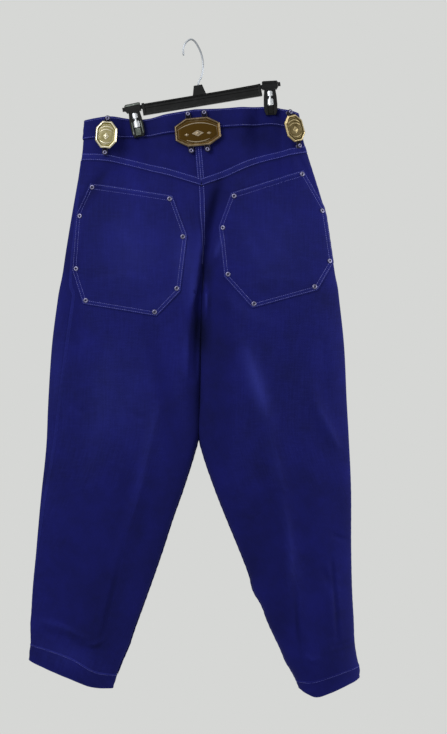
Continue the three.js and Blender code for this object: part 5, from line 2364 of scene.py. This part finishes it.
    def build(self) -> None:
        """Make the hanger."""
        plastic, spring = self.finishes.plastic, self.finishes.spring
        self.eased("hanger_bar", 0.6, plastic, "black_plastic")
        for side in ("left", "right"):
            self.eased(f"clip_{side}_near_jaw", 0.6, plastic, "black_plastic")
            self.eased(f"clip_{side}_far_jaw", 0.6, plastic, "black_plastic")
            self.eased(f"clip_{side}_spring", 0.25, spring, "bright_steel")
        turn = Matrix.Rotation(math.radians(-self.tilt), 4, "Y")
        for side, outer, along, lean in (("left", -1, -131, -2.6), ("right", 1, 131, 6.4)):
            place = turn @ Matrix.Translation((along, 0, self.pivot))
            place = place @ Matrix.Rotation(math.radians(lean), 4, "Y")
            # On the left clip the lip, rail edges and tongue are pale grey, a painted highlight.
            lightened = self.finishes.painted_highlight_plastic if side == "left" else plastic
            for label, relief, material, slot in (
                ("jaw_relief", self.jaw_relief(outer), plastic, "black_plastic"),
                ("lip_and_rail_relief", self.lip_and_rail_relief(outer), lightened, "black_plastic"),
                ("spring_face", self.spring_relief(), spring, "bright_steel"),
            ):
                relief.moved(place).build(f"clip_{side}_{label}", material, flat=True)
        wire = self.hook_mesh().moved(turn).build("wire_hook", self.finishes.wire)
        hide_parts("hanger_hook")
        LOG.info("clip hanger")


# The studio


@dataclass
class Studio:
    """Camera, soft lights and a pale floor.

    Attributes:
        distance: Distance of the camera from the jeans, in m.
        middle: Place that the camera looks at, across and up, in m.
        height: Height that the picture covers at the jeans, in m.
        floor: Height of the floor, in m.
    """

    distance: float = 3.0
    middle: Point = (0.0599, -0.6213)
    height: float = 1.3946
    floor: float = -2.0

    def build(self) -> None:
        """Make the studio."""
        self.camera()
        self.backdrop()
        self.lights()
        LOG.info("studio")

    def camera(self) -> None:
        """Set up the camera at the photograph's angle."""
        data = bpy.data.cameras.new("camera")
        data.sensor_width = 36
        data.lens = 18 * self.distance / (self.height / 2)
        data.clip_end = 50
        camera = placed("camera", data)
        camera.location = (self.middle[0], -self.distance, self.middle[1])
        camera.rotation_euler = (math.radians(90), 0, 0)
        bpy.context.scene.camera = camera

    def backdrop(self) -> None:
        """Lay the floor and set the pale surroundings."""
        mesh = bpy.data.meshes.new("floor")
        sweep = np.linspace(0, 2 * math.pi, 96, endpoint=False)
        ring = [(1.5 * math.cos(a), 1.5 * math.sin(a), self.floor) for a in sweep]
        mesh.from_pydata(ring, [], [tuple(range(96))])
        mesh.materials.append(StudioPaper().build())
        placed("floor", mesh)
        world = bpy.data.worlds.new("studio")
        world.use_nodes = True
        background = world.node_tree.nodes["Background"]
        background.inputs["Color"].default_value = linear("#d6d7d5")
        background.inputs["Strength"].default_value = 1.0
        bpy.context.scene.world = world
        bpy.context.scene.view_settings.view_transform = "Standard"

    def lights(self) -> None:
        """Hang the soft lights."""
        for name, place, size, power in (
            ("key", (-1.55, -1.8, 0.85), 1.3, 83.0),
            ("overhead", (-0.1, -1.0, 1.5), 1.0, 12.0),
            ("rim", (2.4, -0.15, -0.3), 1.2, 72.0),
        ):
            data = bpy.data.lights.new(name, "AREA")
            data.shape = "SQUARE"
            data.size = size
            data.energy = power
            light = placed(name, data)
            light.location = place
            aim = Vector((0.02, 0, -0.6)) - Vector(place)
            light.rotation_euler = aim.to_track_quat("-Z", "Y").to_euler()


def main() -> None:
    """Build the studio, the jeans, their plates and the hanger."""
    logging.basicConfig(level=logging.INFO, format="%(message)s")
    Studio().build()
    finishes = Finishes()
    Panels(finishes).build()
    Waistband(finishes).build()
    Hems(finishes).build()
    Pockets(finishes).build()
    Fly(finishes).build()
    for plate in (
        BeltPlate("plate_centre", WIDE_PLATE, finishes.bronze, finishes.antique, RIGHT,
                  10.5, -179, 5.3, 0, 6, "bronze"),
        BeltPlate("plate_left", TALL_PLATE, finishes.pale_brass, finishes.antique, LEFT,
                  -161, -184, -4.2, -8, 6.5, "brass"),
        BeltPlate("plate_right", TALL_PLATE, finishes.dark_brass, finishes.antique, RIGHT,
                  190, -172, 14, 22, 8, "brass"),
    ):
        plate.build()
    ClipHanger(finishes).build()


if __name__ == "__main__":
    main()
